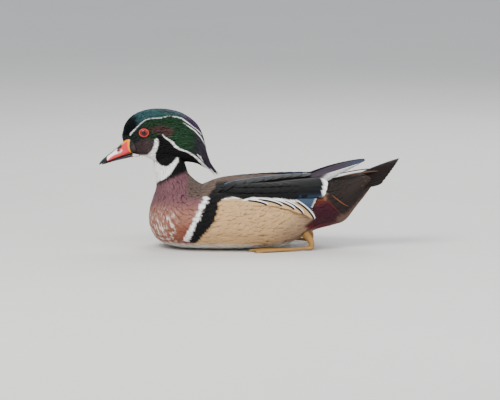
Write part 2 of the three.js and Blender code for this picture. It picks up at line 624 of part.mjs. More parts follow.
function makeFoot() {
  const [jx, jy, jz] = TOE_JOINT;
  const toes = [[-35, 13, 1.8], [-46, -1, 2], [-38, -16, 1.9]].map(([dx, dy, radius]) =>
    limb([
      [jx + 1, jy, jz, radius], [jx + dx * 0.5, jy + dy * 0.56, jz - 0.2, radius * 0.92],
      [jx + dx * 0.86, jy + dy * 0.9, jz - 0.5, radius * 0.8], [jx + dx, jy + dy, 0.7, 0.45],
    ], 6),
  );
  const web = new THREE.Shape();
  web.moveTo(jx, jy + 2);
  web.lineTo(jx - 29, jy + 12);
  web.quadraticCurveTo(jx - 30, jy + 4, jx - 38, jy - 1);
  web.quadraticCurveTo(jx - 30, jy - 7, jx - 31, jy - 14);
  web.lineTo(jx, jy - 2);
  const sheet = solidOf(
    new THREE.ExtrudeGeometry(web, { depth: 1, bevelEnabled: false, curveSegments: 5 }),
  );
  const hind = limb([[jx + 1, jy + 1, jz, 1.4], [jx + 5, jy + 6, 1.6, 1.2], [jx + 8, jy + 9, 0.9, 0.4]], 6);
  const foot = toes.reduce((sum, toe) => sum.add(toe), sheet).add(hind);
  return keepSide(foot, [[0, FLOOR], [0, 1]], 1, 0).subtract(bodyGrown);
}

addNode("head", makeHead(), FINISH.crown);
addNode("crest", makeCrest(), FINISH.crest);
addNode("neck", makeNeck(), FINISH.neck);
addNode("torso", makeTorso(), FINISH.body);
addNode("rump", makeRump(), FINISH.rump);
addNode("bill_upper", makeBill(), FINISH.bill);
addNode("bill_lower", makeLowerBill(), FINISH.jaw);
addPair("eye", ball(EYE_RADIUS), FINISH.eye);
addPair("wing", makeWing(), FINISH.wing);
addNode("tail", makeTail(), FINISH.tail);
addPair("leg", makeLeg(), FINISH.foot);
addPair("foot", makeFoot(), FINISH.foot);

export default bird;
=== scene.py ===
"""Wood duck drake, resting on its belly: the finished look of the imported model.

The bird lies along x, its bill towards minus x and its left side towards minus y. Its forms are
ladders, tables of rungs that skin() runs a surface through. Feathers are lens-shaped meshes laid
on the ladders. Each point takes its colour from where the picture's slightly sloping view of the
left side shows it, so a marking runs over the feathers that it crosses.
"""
import math
import bpy
import numpy as np
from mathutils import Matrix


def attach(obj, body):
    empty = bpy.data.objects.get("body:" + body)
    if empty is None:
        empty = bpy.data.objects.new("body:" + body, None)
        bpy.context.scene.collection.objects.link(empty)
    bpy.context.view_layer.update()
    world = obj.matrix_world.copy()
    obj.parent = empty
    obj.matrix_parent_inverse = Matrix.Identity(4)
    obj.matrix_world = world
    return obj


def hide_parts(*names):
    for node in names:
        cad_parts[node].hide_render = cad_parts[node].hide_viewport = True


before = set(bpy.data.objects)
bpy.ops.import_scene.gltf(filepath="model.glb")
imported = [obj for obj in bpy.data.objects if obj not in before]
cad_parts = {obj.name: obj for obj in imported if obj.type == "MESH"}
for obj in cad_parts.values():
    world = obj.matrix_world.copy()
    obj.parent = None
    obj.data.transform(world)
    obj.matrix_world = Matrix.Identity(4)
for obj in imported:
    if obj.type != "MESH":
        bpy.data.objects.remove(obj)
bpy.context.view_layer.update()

# Sizes, in millimetres unless a name says otherwise
MM = 0.001
MM_PER_PIXEL = 1.2
PHOTO_MIDDLE = 249.1  # column of the photo that lies at x = 0
PHOTO_FLOOR = 246  # row of the photo that lies at height 0
VIEW_SLOPE = 7.0  # degrees the picture looks down, which markings are measured in

SKIN_DEPTH = 2.2  # how far the skin lies inside the outer form of the body's plumage
HEAD_SKIN_DEPTH = 1.7
HEAD_SKIN_SHORT = 1.6  # rungs left out at the crest's tip, which is all feathers
SKIN_VOXEL = 1.8
SKIN_COLUMNS = 96

EYE_AT = (-125.6, 138.6)
EYE_HALF_WIDTH = 16.0  # how far the eyes are from the middle of the head
EYE_RADIUS = 6.1
EYE_OUT = 2.3
EYE_BARE = 5.5  # radius of the place without feathers round the eye
IRIS_RADIUS = 4.3
PUPIL_RADIUS = 2.2
LID_RADIUS = 5.0
LID_THICK = 0.8
LID_SUNK = 0.15

BILL_END = 8  # the last rung of the upper half of the bill
NOSTRIL_AT = (-155.6, 116.2)
NOSTRIL_SIZE = (3.0, 1.8)
NOSTRIL_SLANT = 0.62  # radians
NOSTRIL_DEPTH = 2.2
NOSTRIL_LIP = 0.28
HORN_OUT = -0.05  # how far the horn stands off its ladder, so that it stays within the solid
NAIL_RISE = 0.04
BILL_RIDGE = np.array([(-176, 104.4), (-166, 110.0), (-158, 115.6), (-150, 122.4), (-143, 131)]).T
BILL_RIDGE_HALF = np.array([(-176, 6), (-160, 3.6), (-150, 3.0), (-143, 1.2)]).T
BILL_RIM_WIDE = np.array([(112, 1.2), (131, 2.6)]).T  # width of the yellow rim at two heights

WING_FRONT, WING_BACK = -47, 84
WING_TOP = np.array([(-56, 0.74), (-24, 0.38), (25, 0.18), (57, 0.06), (96, 0.05)]).T  # x, angle
WING_BOTTOM = np.array([(-55, 1.04), (-24, 1.01), (25, 1.0), (60, 1.17), (76, 1.24), (90, 0.95)]).T
WING_BED_DEPTHS = (-2.4, -3.4)
WING_BED_STEPS = 24
BROAD = {"stations": 14, "columns": 9, "thick": 0.35, "camber": 0.035}  # a broad wing feather
GLOSSY_LONG, GLOSSY_WIDE, GLOSSY_COUNT = 27, 11.0, 9
PRIMARY_COUNT, PRIMARY_LONG, PRIMARY_WIDE = 7, 75.0, 10.5
PRIMARY_ROOT, PRIMARY_ROOT_STEP = (66, -16, 83.6), (0, -1.2, -0.7)
PRIMARY_TIP, PRIMARY_TIP_STEP = (139, -5.5, 104.5), (-6.3, -1.3, -2.9)
PRIMARY_FACE = (-0.25, -0.68, 0.68)
PRIMARY_APART = 0.42

FLANK_WIDTHS = np.array([10, 10, 10.5, 11, 11.5])
FLANK_BAND_WIDTHS = (4.4, 1.9, 0.25)  # from a flank feather's upper rim to the end of each line

TAIL_ROOT = (132, 14, 88)
TAIL_TIP = (180, 29, 106)
TAIL_ARCH = (14, 24)  # how much lower the tail's sides are than its middle, at root and tip
TAIL_STEP = 20  # how much shorter its sides are
TAIL_VANES = 24
TAIL_VANE_WIDE = 12.0
TAIL_STRAND = ((104, -15, 84.5), (156, -14, 92.5))
TAIL_STRAND_LONG = 48.0
TAIL_STRAND_WIDE = 3.2

TOE_JOINT = (44, -51, 2.2)
HOCK = (75, -40, 3.4)
TOES = ((-35, 13, 1.7), (-46, -1, 1.9), (-38, -16, 1.8))  # forwards, sideways and radius
SOLE = 0.02  # the lowest that a foot reaches
WEB_HEIGHT = 1.5
WEB_THICK = 0.6
WEB_STEPS = 18

# Rungs: back x, back z, front x, front z, half width, widest at, upper and lower roundness
HEAD = np.array([
    [-151.6, 125.5, -146, 117.5, 1.6, 0.45, 2, 2],
    [-152.7, 130.5, -141, 112.4, 4.4, 0.42, 2, 2],
    [-151.8, 138, -136, 110.2, 8, 0.42, 2, 2],
    [-149.2, 147, -128.5, 108.8, 12.6, 0.4, 2, 2.1],
    [-143, 155.4, -121.5, 106.6, 16.2, 0.38, 2, 2.1],
    [-133.5, 161.6, -115.5, 103.2, 18.3, 0.38, 2, 2.1],
    [-121, 165.4, -108.5, 100, 19.4, 0.4, 2, 2.1],
    [-107.5, 166.4, -101, 98.2, 19.4, 0.43, 2, 2.1],
    [-94, 165.2, -92.5, 98, 18.2, 0.47, 2, 2.1],
    [-80, 160.8, -82, 99.6, 15.8, 0.5, 2, 2.1],
    [-68.5, 153.6, -72, 101, 13, 0.52, 2, 2],
    [-60, 144.5, -65, 100, 10, 0.53, 2, 2],
    [-55, 133.5, -59, 97.6, 7.6, 0.53, 2, 2],
    [-52, 121.5, -54, 95.2, 5.6, 0.5, 2, 2],
    [-49.4, 110.5, -49.5, 93.2, 3.8, 0.5, 2, 2],
    [-45.5, 99.8, -45.6, 91.2, 2.2, 0.5, 2, 2],
    [-41.4, 91.6, -42.4, 89.8, 0.8, 0.5, 2, 2],
])
BODY = np.array([
    [-90, 122, -112, 118, 13, 0.5, 2, 2],
    [-79, 110, -115.5, 104, 16.5, 0.5, 2, 2],
    [-75.4, 97.5, -114, 92.5, 18, 0.5, 2, 2],
    [-72.5, 88.5, -112, 81.5, 20, 0.49, 2, 2],
    [-66, 81.5, -112, 71, 25, 0.48, 2, 2],
    [-59, 76.5, -115.8, 58.5, 33.5, 0.46, 2, 2],
    [-53.5, 75, -120, 43, 42.5, 0.44, 2.05, 2],
    [-48, 77.5, -119.4, 25, 51, 0.43, 2.1, 2.05],
    [-40, 81, -110, 9, 58.5, 0.42, 2.15, 2.15],
    [-26, 84, -86, 0, 64.5, 0.41, 2.2, 2.3],
    [-5, 85.4, -46, -2, 68.5, 0.41, 2.25, 2.4],
    [20, 86.6, 0, -2, 68.5, 0.41, 2.25, 2.4],
    [46, 86.4, 33, -1, 64.5, 0.42, 2.2, 2.3],
    [68, 85, 58, 9, 56, 0.44, 2.15, 2.15],
    [86, 82.5, 79, 20, 46.5, 0.46, 2.1, 2.1],
    [102, 83, 99, 25.2, 37.5, 0.48, 2, 2],
    [118, 86, 115, 31, 30.5, 0.5, 2, 2],
    [133, 88.6, 128, 47, 25.5, 0.54, 2, 2],
    [145, 89.6, 139, 61, 20.5, 0.6, 2, 2],
    [152, 90, 147.5, 73, 17.5, 0.6, 2, 2],
    [156, 90, 153.5, 80, 13, 0.55, 2, 2],
])
BILL = np.array([
    [-140.6, 133, -134, 113.8, 10.6, 0.42, 4, 2.6],
    [-146.5, 129.8, -141.5, 112.6, 9.9, 0.4, 3.4, 2.6],
    [-153.4, 123.4, -148.4, 110.4, 8.9, 0.36, 2.6, 3],
    [-160, 117.2, -155, 108.2, 8.3, 0.32, 2.2, 3],
    [-166.4, 112.2, -161.6, 105.9, 8.1, 0.28, 2.2, 3],
    [-171.6, 108.2, -168, 103.4, 8, 0.28, 2.2, 3],
    [-176, 104.4, -173.6, 101.2, 6.6, 0.3, 2.2, 3],
    [-178.8, 101.2, -177.6, 99.2, 4.2, 0.35, 2, 2.4],
    [-180, 98.9, -179.5, 98, 1.6, 0.5, 2, 2],
])
LOWER_BILL = np.array([
    [-132, 113.4, -131, 108.6, 8.2, 0.5, 2.4, 2],
    [-141.4, 112.2, -140.2, 107.4, 8, 0.6, 2.6, 2],
    [-148.3, 110, -147.4, 105.8, 7.4, 0.6, 2.8, 2],
    [-155, 107.8, -154.3, 104.3, 6.9, 0.6, 2.8, 2],
    [-161.6, 105.5, -161, 102.7, 6.7, 0.6, 2.8, 2],
    [-168, 103, -167.5, 100.8, 6.4, 0.6, 2.8, 2],
    [-173.4, 100.8, -173.1, 99.1, 5, 0.5, 2.4, 2],
    [-176.6, 99.3, -176.4, 98.3, 2.6, 0.5, 2, 2],
])
FOLDED = np.array([
    [-66, 68, -66, 0, 54, 0.42, 2.1, 2],
    [-46, 80, -46, 0, 62, 0.42, 2.1, 2],
    [-24, 85.8, -24, 0, 66.6, 0.41, 2.15, 2],
    [0, 87.4, 0, 0, 68.8, 0.41, 2.15, 2],
    [25, 88.6, 25, 0, 68, 0.41, 2.15, 2],
    [50, 89.4, 50, 0, 64, 0.42, 2.1, 2],
    [74, 89.6, 74, 0, 55.5, 0.44, 2.1, 2],
    [96, 88.8, 96, 0, 45, 0.48, 2.1, 2],
    [116, 87.4, 116, 0, 36, 0.5, 2, 2],
])


def from_photo(*pixels):
    """Places (x, height) in millimetres, to a tenth, of points read off the photo: their
    distance from the photo's middle column and floor row times the size of a pixel."""
    return [
        (round((column - PHOTO_MIDDLE) * MM_PER_PIXEL, 1), round((PHOTO_FLOOR - row) * MM_PER_PIXEL, 1))
        for column, row in pixels
    ]


# Lines and areas of the markings. A line's widths are in pixels of the photo.
LINE_BROW = from_photo(
    (130.6, 135.6), (131.25, 133.75), (136.25, 128.75), (141.25, 123.75), (146.25, 120),
    (151.25, 118.75), (160, 118.5), (170, 116),
)
LINE_BROW_WIDE = [0.9, 1.3, 0.9, 0.7, 0.6, 0.55, 0.5, 0.4]
LINE_CREST = from_photo(
    (172.5, 117), (177, 117.2), (182.5, 119), (190, 124.4), (197.5, 130), (202, 135),
)
LINE_CREST_WIDE = [0.4, 0.5, 0.7, 0.8, 0.7, 0.3]
LINE_BRANCH = from_photo(
    (184.5, 123.4), (188, 126), (195, 130.8), (201, 137.5), (205, 144.5),
)
LINE_BRANCH_WIDE = [0.3, 0.7, 0.9, 0.9, 0.4]
LINE_EAR = from_photo(
    (163.1, 135), (165, 137.5), (168.75, 140), (173.1, 143.1), (175, 146.2), (180, 149.4),
    (187.5, 151.9), (193.75, 155.6), (198.75, 160), (203.75, 165), (208.75, 169.4), (214.5, 173.5),
)
LINE_EAR_WIDE = [0.6, 1.1, 1.5, 2.3, 2.5, 1.4, 1.4, 1.7, 2.2, 2.0, 1.6, 0.9]
LINE_EAR_BRANCH = from_photo(
    (197.5, 154.4), (200.5, 157.5), (203.1, 161.2),
)
LINE_EAR_BRANCH_WIDE = [0.6, 1.1, 0.5]
HEAD_LINES = (
    (LINE_BROW, LINE_BROW_WIDE), (LINE_CREST, LINE_CREST_WIDE), (LINE_BRANCH, LINE_BRANCH_WIDE),
    (LINE_EAR, LINE_EAR_WIDE), (LINE_EAR_BRANCH, LINE_EAR_BRANCH_WIDE),
)
CROWN_EDGE = np.array(LINE_BROW + LINE_CREST[1:] + [(-45, 92)]).T
NAPE_EDGE = np.array([(-118, 134), (-108, 133)] + LINE_EAR[1:]).T
AREA_STRAP = from_photo(
    (158.4, 139.4), (156.9, 138.6), (155, 140.4), (154.4, 146.2), (151.9, 151.2), (147.5, 155),
    (142.5, 155), (136.2, 154.4), (131, 152.6), (127, 156), (142, 162), (147, 166), (149, 172),
    (151, 178), (155, 184), (158.75, 181.6), (165, 178.75), (171.25, 173.75), (175, 167.5),
    (178.9, 161.25), (178.6, 157), (175, 160), (171.25, 164.4), (166.25, 166.9), (161.25, 165.6),
    (157.5, 162.5), (155.6, 157.5), (155.9, 152.5), (157.5, 149.4), (158.9, 143.75),
)
AREA_CHEEK = from_photo(
    (132, 146), (138, 141.5), (147, 139), (154.5, 140.5), (155, 146), (152.5, 151.5), (147.5, 155.5),
    (140, 155.5), (132, 153),
)
AREA_EAR_PATCH = from_photo(
    (150, 129), (158, 126.5), (168, 127), (173.5, 130.5), (172, 135), (166, 136.5), (158, 133.5),
    (151, 132),
)
AREA_WHITE_BAR = from_photo(
    (208.8, 196.8), (205, 197.2), (201.25, 203.75), (197.5, 212.5), (193.75, 221.25), (187.5, 232.5),
    (183.5, 240.5), (189, 241.5), (192.5, 234.4), (196.25, 225), (200.6, 216.25), (205, 207.5),
    (208.9, 198.6),
)
AREA_BLACK_BAR = from_photo(
    (208.8, 196.8), (208.3, 197.5), (212.5, 190), (220, 186), (230, 182.5), (240, 182), (236, 196),
    (226, 197), (218.6, 203.2), (218.1, 210), (215.6, 218.75), (211.9, 226.25), (202.5, 236.5),
    (197, 243), (188.5, 242), (192.5, 234.4), (196.25, 225), (200.6, 216.25), (205, 207.5),
)
AREA_WING = from_photo(
    (216, 201), (222, 198.5), (240, 196.5), (262, 197.5), (281, 198.6), (297, 200.6), (308, 205),
    (313, 212), (318, 206), (321, 196), (312, 186), (290, 180), (250, 178), (222, 184),
)
AREA_MAROON = from_photo(
    (311.5, 197.5), (322, 196), (331, 202.5), (338, 210.5), (336.5, 221.5), (326, 227.5), (308, 230.5),
    (304, 226), (313.5, 218),
)
AREA_FLANK_VANES = from_photo(
    (243, 201), (250, 199), (262, 198.6), (282, 200.5), (299, 204), (311, 215), (309, 216.5),
    (298, 211.5), (284, 207), (262, 203.5), (250, 202.6),
)
AREA_BILL_WHITE = from_photo(
    (104.6, 160), (106.5, 155.5), (110, 151.4), (114.5, 149.4), (119, 148.6), (122.4, 150.5),
    (121, 152.6), (116.5, 154), (111, 157), (107.2, 161),
)
AREA_BILL_RIDGE = from_photo(
    (117, 149), (121.5, 144.2), (123.4, 144.6), (121.4, 147.8), (119, 149.6),
)
BILL_EDGE = from_photo(
    (133, 158), (132, 153.4), (130.2, 150.6), (129.4, 146.5), (129.8, 141.5), (130.7, 137),
)
FOREHEAD_EDGE = from_photo(
    (122.5, 143.3), (130.7, 137),
)
FLANK_EDGE = from_photo(
    (216, 204), (220, 200.8), (224, 198.6), (233, 196.8), (240.4, 198.6), (243.4, 199.6), (251, 197.6),
    (262, 197.6), (279, 198.4), (289, 200.2), (297, 200.4), (303, 203), (309, 208), (313.5, 215),
)
FLANK_EDGE_WIDE = [0, 0.3, 1.2, 1.6, 0.5, 1.6, 3.0, 3.6, 3.4, 2.6, 1.6, 1.4, 1.2, 0.6]
VENT_EDGE = np.array([(80, 20), (102, 25), (118, 31), (133, 47), (145, 61), (156, 80)]).T

# Roots and tips of feathers that the photo shows one by one, and of the first in each wing row
FLANK_ROOTS = from_photo(
    (226, 202.4), (241, 200.4), (257, 199.4), (270, 198.6), (282, 196),
)
FLANK_TIPS = from_photo(
    (268, 204.2), (283, 205.2), (295, 209), (303.6, 213), (314.4, 218),
)
STRAND_LINES = from_photo(
    (332, 195.5), (348, 206), (327, 200), (340, 213),
)
ROW_LINES = from_photo(
    (272, 200), (313, 206.3), (222, 193), (246, 197), (266, 190.5), (326, 189.5), (222, 188.5),
    (246, 190.5), (222, 184.5), (248, 185.5),
)
SECONDARY_ROW, COVERT_ROW, TERTIAL_ROW, LOW_ROW, MIDDLE_ROW = (ROW_LINES[k:k + 2] for k in range(0, 10, 2))

rng = np.random.default_rng(1845)


# The ladders, as functions of a place s along them and an angle from back to belly


def rung_at(ladder, s):
    """Each column of the rungs, run through by a cubic whose slope at a rung is half the step
    from the rung before it to the rung after it."""
    i = np.clip(np.floor(s).astype(int), 0, len(ladder) - 2)
    t = (s - i)[..., None]
    a, b, c, d = (ladder[np.clip(i + k, 0, len(ladder) - 1)] for k in (-1, 0, 1, 2))
    slope_in, slope_out, rise = (c - a) / 2, (d - b) / 2, c - b
    bend = 3 * rise - 2 * slope_in - slope_out + t * (slope_in + slope_out - 2 * rise)
    return b + t * (slope_in + t * bend)


def skin(ladder, s, angle, grow=0.0):
    """A point of a ladder's form: a superellipse across the rung, whose half width is the
    rung's and which is widest at a share of the way from its front to its back."""
    s, angle, grow = np.broadcast_arrays(*(np.asarray(part, float) for part in (s, angle, grow)))
    bx, bz, fx, fz, half, widest, upper, lower = np.moveaxis(rung_at(ladder, s), -1, 0)
    c, q = np.cos(angle), np.sin(angle)
    power = 2 / np.where(c >= 0, upper, lower)
    up, side = np.sign(c) * np.abs(c) ** power, np.sign(q) * np.abs(q) ** power
    dx, dz = bx - fx, bz - fz
    long = np.hypot(dx, dz) + 1e-9
    mx, mz = fx + widest * dx, fz + widest * dz
    reach = np.where(c >= 0, (1 - widest) * long, widest * long) + grow
    return np.stack([
        mx + dx / long * reach * up,
        -(half + grow) * side,
        np.maximum(mz + dz / long * reach * up, 0.0),
    ], -1)


def frame_at(ladder, s, angle):
    """The tangents along the ladder and round it, by small steps, and the outward normal."""
    step = 0.01
    along = (skin(ladder, s + step, angle) - skin(ladder, s - step, angle)) / (2 * step)
    around = (skin(ladder, s, angle + step) - skin(ladder, s, angle - step)) / (2 * step)
    normal = np.cross(around, along)
    normal /= np.linalg.norm(normal, axis=-1, keepdims=True) + 1e-12
    return along, around, normal


def on_ladder(ladder, x, height):
    """The place and angle on the left side where the picture shows (x, height): the nearest
    of a fine grid over the ladder, found for each pair in turn."""
    s, angle = np.meshgrid(np.linspace(0, len(ladder) - 1, 400), np.linspace(0.02, 3.1, 160), indexing="ij")
    seen = picture(skin(ladder, s, angle))
    facing = frame_at(ladder, s, angle)[2]
    hidden = 1000.0 * (facing[..., 1] > 0.15)
    places = [
        np.unravel_index(np.argmin(np.hypot(seen[..., 0] - a, seen[..., 1] - b) + hidden), s.shape)
        for a, b in zip(np.atleast_1d(x), np.atleast_1d(height))
    ]
    return np.array([[s[k], angle[k]] for k in places])


def inside_ladder(ladder, p, grow=0.0):
    """True where a point is within a ladder's form: some rung's oval holds it. The rung is the
    one whose line passes nearest to the point in the side view."""
    s = np.linspace(0, len(ladder) - 1, 240)
    bx, bz, fx, fz, half, widest, upper, lower = rung_at(ladder, s).T
    dx, dz = bx - fx, bz - fz
    long = np.hypot(dx, dz) + 1e-9
    off = (p[:, None, 0] - fx) * dz / long - (p[:, None, 2] - fz) * dx / long
    share = ((p[:, None, 0] - fx) * dx + (p[:, None, 2] - fz) * dz) / long ** 2
    off = np.abs(off) + 100 * np.clip(np.abs(share - 0.5) - 0.6, 0, None)
    k = np.argmin(off, 1)
    near = off[np.arange(len(p)), k] < 1.5
    share = share[np.arange(len(p)), k]
    reach = np.where(share > widest[k], 1 - widest[k], widest[k]) * long[k] + grow
    up = np.abs(share - widest[k]) * long[k] / np.maximum(reach, 0.1)
    side = np.abs(p[:, 1]) / np.maximum(half[k] + grow, 0.1)
    power = np.where(share > widest[k], upper[k], lower[k])
    return near & (up ** power + side ** power < 1)


# Markings


def picture(p):
    """x and height of a point as the picture's slightly sloping view shows its left side."""
    slope = math.radians(VIEW_SLOPE)
    return np.stack([p[..., 0], p[..., 2] * math.cos(slope) - np.abs(p[..., 1]) * math.sin(slope)], -1)


def segments(points, loop):
    """The starts and ends of the pieces of a line, or of a closed outline."""
    a = np.asarray(points, float)
    b = np.roll(a, -1, 0) if loop else a[1:]
    return (a, b) if loop else (a[:-1], b)


def along_line(at, points, wide, soft=0.35):
    """1 on a line whose width, in pixels of the photo, changes from point to point, falling to 0
    over soft at its edges: by the distance to the nearest piece less half the width there."""
    a, b = segments(points, False)
    wide = np.asarray(wide, float) * MM_PER_PIXEL / 2
    d = b - a
    t = np.clip(((at[:, None] - a) * d).sum(-1) / (d * d).sum(-1), 0, 1)
    half = wide[:-1] + (wide[1:] - wide[:-1]) * t
    gap = np.linalg.norm(at[:, None] - a - t[..., None] * d, axis=-1) - half
    return np.clip(0.5 - gap.min(1) / soft, 0, 1)


def within(at, points, soft=0.8):
    """1 inside a closed outline, 0 outside, with a ramp as wide as soft across the edge. A place
    is inside where a line from it towards plus x crosses the outline an odd number of times."""
    a, b = segments(points, True)
    d = b - a
    t = np.clip(((at[:, None] - a) * d).sum(-1) / (d * d).sum(-1), 0, 1)
    gap = np.linalg.norm(at[:, None] - a - t[..., None] * d, axis=-1).min(1)
    x, y = at[:, None, 0], at[:, None, 1]
    crosses = (a[:, 1] > y) != (b[:, 1] > y)
    cut = a[:, 0] + (y - a[:, 1]) / np.where(d[:, 1] == 0, 1e-9, d[:, 1]) * d[:, 0]
    odd = (crosses & (x < cut)).sum(1) % 2 == 1
    return np.clip(0.5 + np.where(odd, gap, -gap) / soft, 0, 1)


def ramp(value, low, high):
    """A smooth step from 0 at low to 1 at high."""
    t = np.clip((value - low) / (high - low), 0, 1)
    return t * t * (3 - 2 * t)


def tone(red, green, blue):
    """A linear colour from screen values of 0 to 255."""
    c = np.array([red, green, blue]) / 255
    return np.where(c <= 0.04045, c / 12.92, ((c + 0.055) / 1.055) ** 2.4)


# Colours of the plumage
WHITE = tone(247, 246, 244)
JET = tone(8, 8, 9)
LORE = tone(34, 44, 40)
FOREHEAD = tone(6, 14, 15)
# The crown's teal: its own iridescent colour, lightened towards a painted sheen
CROWN_TEAL_AND_SHEEN = tone(46, 80, 84)
CROWN_GREEN = tone(28, 70, 54)
CROWN_PURPLE = tone(50, 34, 62)
CREST_GREEN = tone(30, 56, 36)
CREST_PURPLE = tone(50, 44, 54)
EAR_MAROON = tone(74, 48, 50)
CHEEK = tone(68, 56, 56)
NECK_PURPLE = tone(104, 70, 76)
BREAST = tone(142, 98, 84)
BREAST_PALE = tone(238, 220, 208)
NAPE_BROWN = tone(84, 70, 62)
MANTLE = tone(92, 76, 66)
BUFF = tone(200, 162, 116)
BUFF_GREY = tone(158, 130, 106)
BELLY = tone(226, 222, 212)
MAROON = tone(58, 20, 32)
VENT_RED = tone(96, 18, 26)
RUST = tone(104, 52, 34)
RUMP_BLACK = tone(38, 31, 28)
VENT_BROWN = tone(104, 78, 66)
WING_BLACK = tone(5, 5, 6)
# The wing's iridescent blue, with painted glint and sheen: used on upper rims, tertials and primary ends
WING_BLUE_AND_SHEEN = tone(62, 90, 120)
SPECULUM = tone(54, 70, 88)
PRIMARY_GREY = tone(74, 64, 76)
TAIL_BLACK = tone(24, 20, 19)
TAIL_RIM = tone(110, 72, 56)
PLUME_TAN = tone(126, 78, 52)
PLUME_RED = tone(84, 40, 34)
PLUME_BROWN = tone(82, 56, 46)

# Colours of the bill
BILL_RED = tone(206, 54, 62)
BILL_WHITE = tone(250, 244, 238)
BILL_YELLOW = tone(238, 140, 10)
RIDGE_BLACK = tone(20, 20, 24)
RIDGE_GREY = tone(24, 26, 32)
NAIL_BLACK = tone(16, 16, 20)
NOSTRIL_BROWN = tone(92, 40, 24)
JAW_BLACK = tone(26, 24, 27)
JAW_RED = tone(120, 52, 52)

# Colours that the materials hold themselves, red, green, blue and alpha
BLACK_LINE = (0.006, 0.006, 0.007, 1)
WHITE_LINE = (0.92, 0.91, 0.9, 1)
VERMICULE = (0.10, 0.065, 0.04, 1)
IRIS_INNER, IRIS_OUTER = (0.07, 0.005, 0.006, 1), (0.26, 0.012, 0.010, 1)
PUPIL, IRIS_EDGE = (0.004, 0.004, 0.006, 1), (0.02, 0.006, 0.006, 1)
LID_DARK, LID_LIGHT = (0.40, 0.014, 0.012, 1), (0.52, 0.03, 0.02, 1)
LEG_OCHRE, LEG_BROWN, LEG_SEAM = (0.47, 0.26, 0.045, 1), (0.33, 0.15, 0.03, 1), (0.16, 0.07, 0.03, 1)
WEB_DARK, WEB_OCHRE = (0.11, 0.075, 0.045, 1), (0.26, 0.15, 0.05, 1)
CLAW_DARK, CLAW_LIGHT = (0.02, 0.017, 0.015, 1), (0.05, 0.04, 0.035, 1)
FLOOR_DARK, FLOOR_LIGHT = (0.60, 0.59, 0.57, 1), (0.66, 0.65, 0.63, 1)

# Side plumes, as their line, width and colour
PLUMES = ((STRAND_LINES[:2], 1.2, PLUME_TAN), (STRAND_LINES[2:], 1.8, PLUME_RED))


def blend(under, over, amount):
    """Colours, moved towards others by an amount for each point."""
    return under + (np.asarray(over) - under) * np.clip(amount, 0, 1)[:, None]


def plain(colour, count):
    """One colour for a number of points."""
    return np.tile(colour, (count, 1))


def noise(p, size, seed):
    """Smooth variation between -1 and 1: a sum of sines of the place, turned and scaled by a
    few fixed random directions."""
    turn = np.random.default_rng(seed)
    total = np.zeros(len(p))
    for _ in range(5):
        way = turn.normal(size=3)
        way *= 2 * math.pi / (np.linalg.norm(way) * size * turn.uniform(0.6, 1.5))
        total += np.sin(p @ way + turn.uniform(0, 2 * math.pi))
    return np.clip(total / 3, -1, 1)


def crown_tint(p, at, grain):
    """Colour of the top of the head: each next tone covers the last by a smooth step of the
    place along the head, or of the height."""
    x, h = at.T
    # The crown starts teal, its own iridescent colour lightened by a painted sheen, before the other tones
    # cover it
    top = blend(plain(CROWN_TEAL_AND_SHEEN, len(p)), FOREHEAD, ramp(-x + 0.5 * (150 - h) - 2 * grain, 128, 140))
    top = blend(top, CROWN_GREEN, ramp(x + 2 * grain, -116, -104) * (0.4 + 0.4 * noise(p, 3, 21)))
    top = blend(top, CROWN_PURPLE, ramp(x + 3 * grain, -92, -72))
    return blend(top, CROWN_PURPLE * 0.7, ramp(h, 157, 163) * ramp(x, -112, -96) * 0.7)


def head_tint(p):
    """Colour and gloss of the head. Crest, lores, ear patch and cheek follow smooth steps of the
    place and the insides of outlines, the crown lies above one line and black below another,
    and the white strap and lines cover them all."""
    at = picture(p)
    x, h = at.T
    grain = noise(p, 7, 3)
    purple = ramp(x + 0.35 * (130 - h) + 3 * grain, -72, -50)
    colour = blend(plain(CREST_GREEN, len(p)), CREST_PURPLE, purple)
    colour = blend(colour, LORE, ramp(-x - 4 * grain, 116, 132))
    colour = blend(colour, EAR_MAROON, within(at + grain[:, None] * 0.8, AREA_EAR_PATCH, 7))
    crown = ramp(h - np.interp(x, *CROWN_EDGE), -0.5, 0.5)
    colour = colour + (crown_tint(p, at, grain) - colour) * crown[:, None]
    below = np.interp(x, *NAPE_EDGE)
    colour = blend(colour, JET, ramp(below - h, -0.3, 0.8) * ramp(x - 0.3 * (h - 118), -117, -113))
    colour = blend(colour, CHEEK, within(at + grain[:, None] * 0.5, AREA_CHEEK, 4))
    gloss = 1 - 0.85 * ramp(below - h, -0.5, 0.8) * ramp(x, -112, -108)
    white = within(at, AREA_STRAP, 0.9)
    for line, wide in HEAD_LINES:
        white = np.maximum(white, along_line(at, line, wide))
    return blend(colour, WHITE, white), gloss * (1 - white)


def flank_edge(at):
    """How white places are just below the wing's lower edge and how far they are above it, by
    their height over a line across the picture."""
    x, h = at.T
    edge_x, edge_h = np.array(FLANK_EDGE).T
    below = np.interp(x, edge_x, edge_h) - h
    inside = ramp(x, edge_x[0] - 1, edge_x[0]) * ramp(edge_x[-1] - x, -1, 0)
    white = ramp(np.interp(x, edge_x, FLANK_EDGE_WIDE) - below, -0.3, 0.3) * inside
    return white, ramp(-below, -0.2, 0.4) * inside


def breast_tint(p, at, grain, wide_grain):
    """Purple neck, then the breast, darker and rustier downwards, with pale streaks where a
    stretched noise is high."""
    x, h = at.T
    colour = blend(plain(NECK_PURPLE, len(p)), BREAST, ramp(-h + 2 * wide_grain, -58, -34))
    colour = blend(colour, RUST * 0.9 + BREAST * 0.3, ramp(-h + 3 * grain, -34, -18) * ramp(x, -104, -84))
    streak = ramp(noise(p * [1, 1, 0.25], 2.8, 8), 0.15, 0.6)
    return blend(colour, BREAST_PALE, 0.75 * streak * ramp(-h, -52, -26) * ramp(-x, 82, 92))


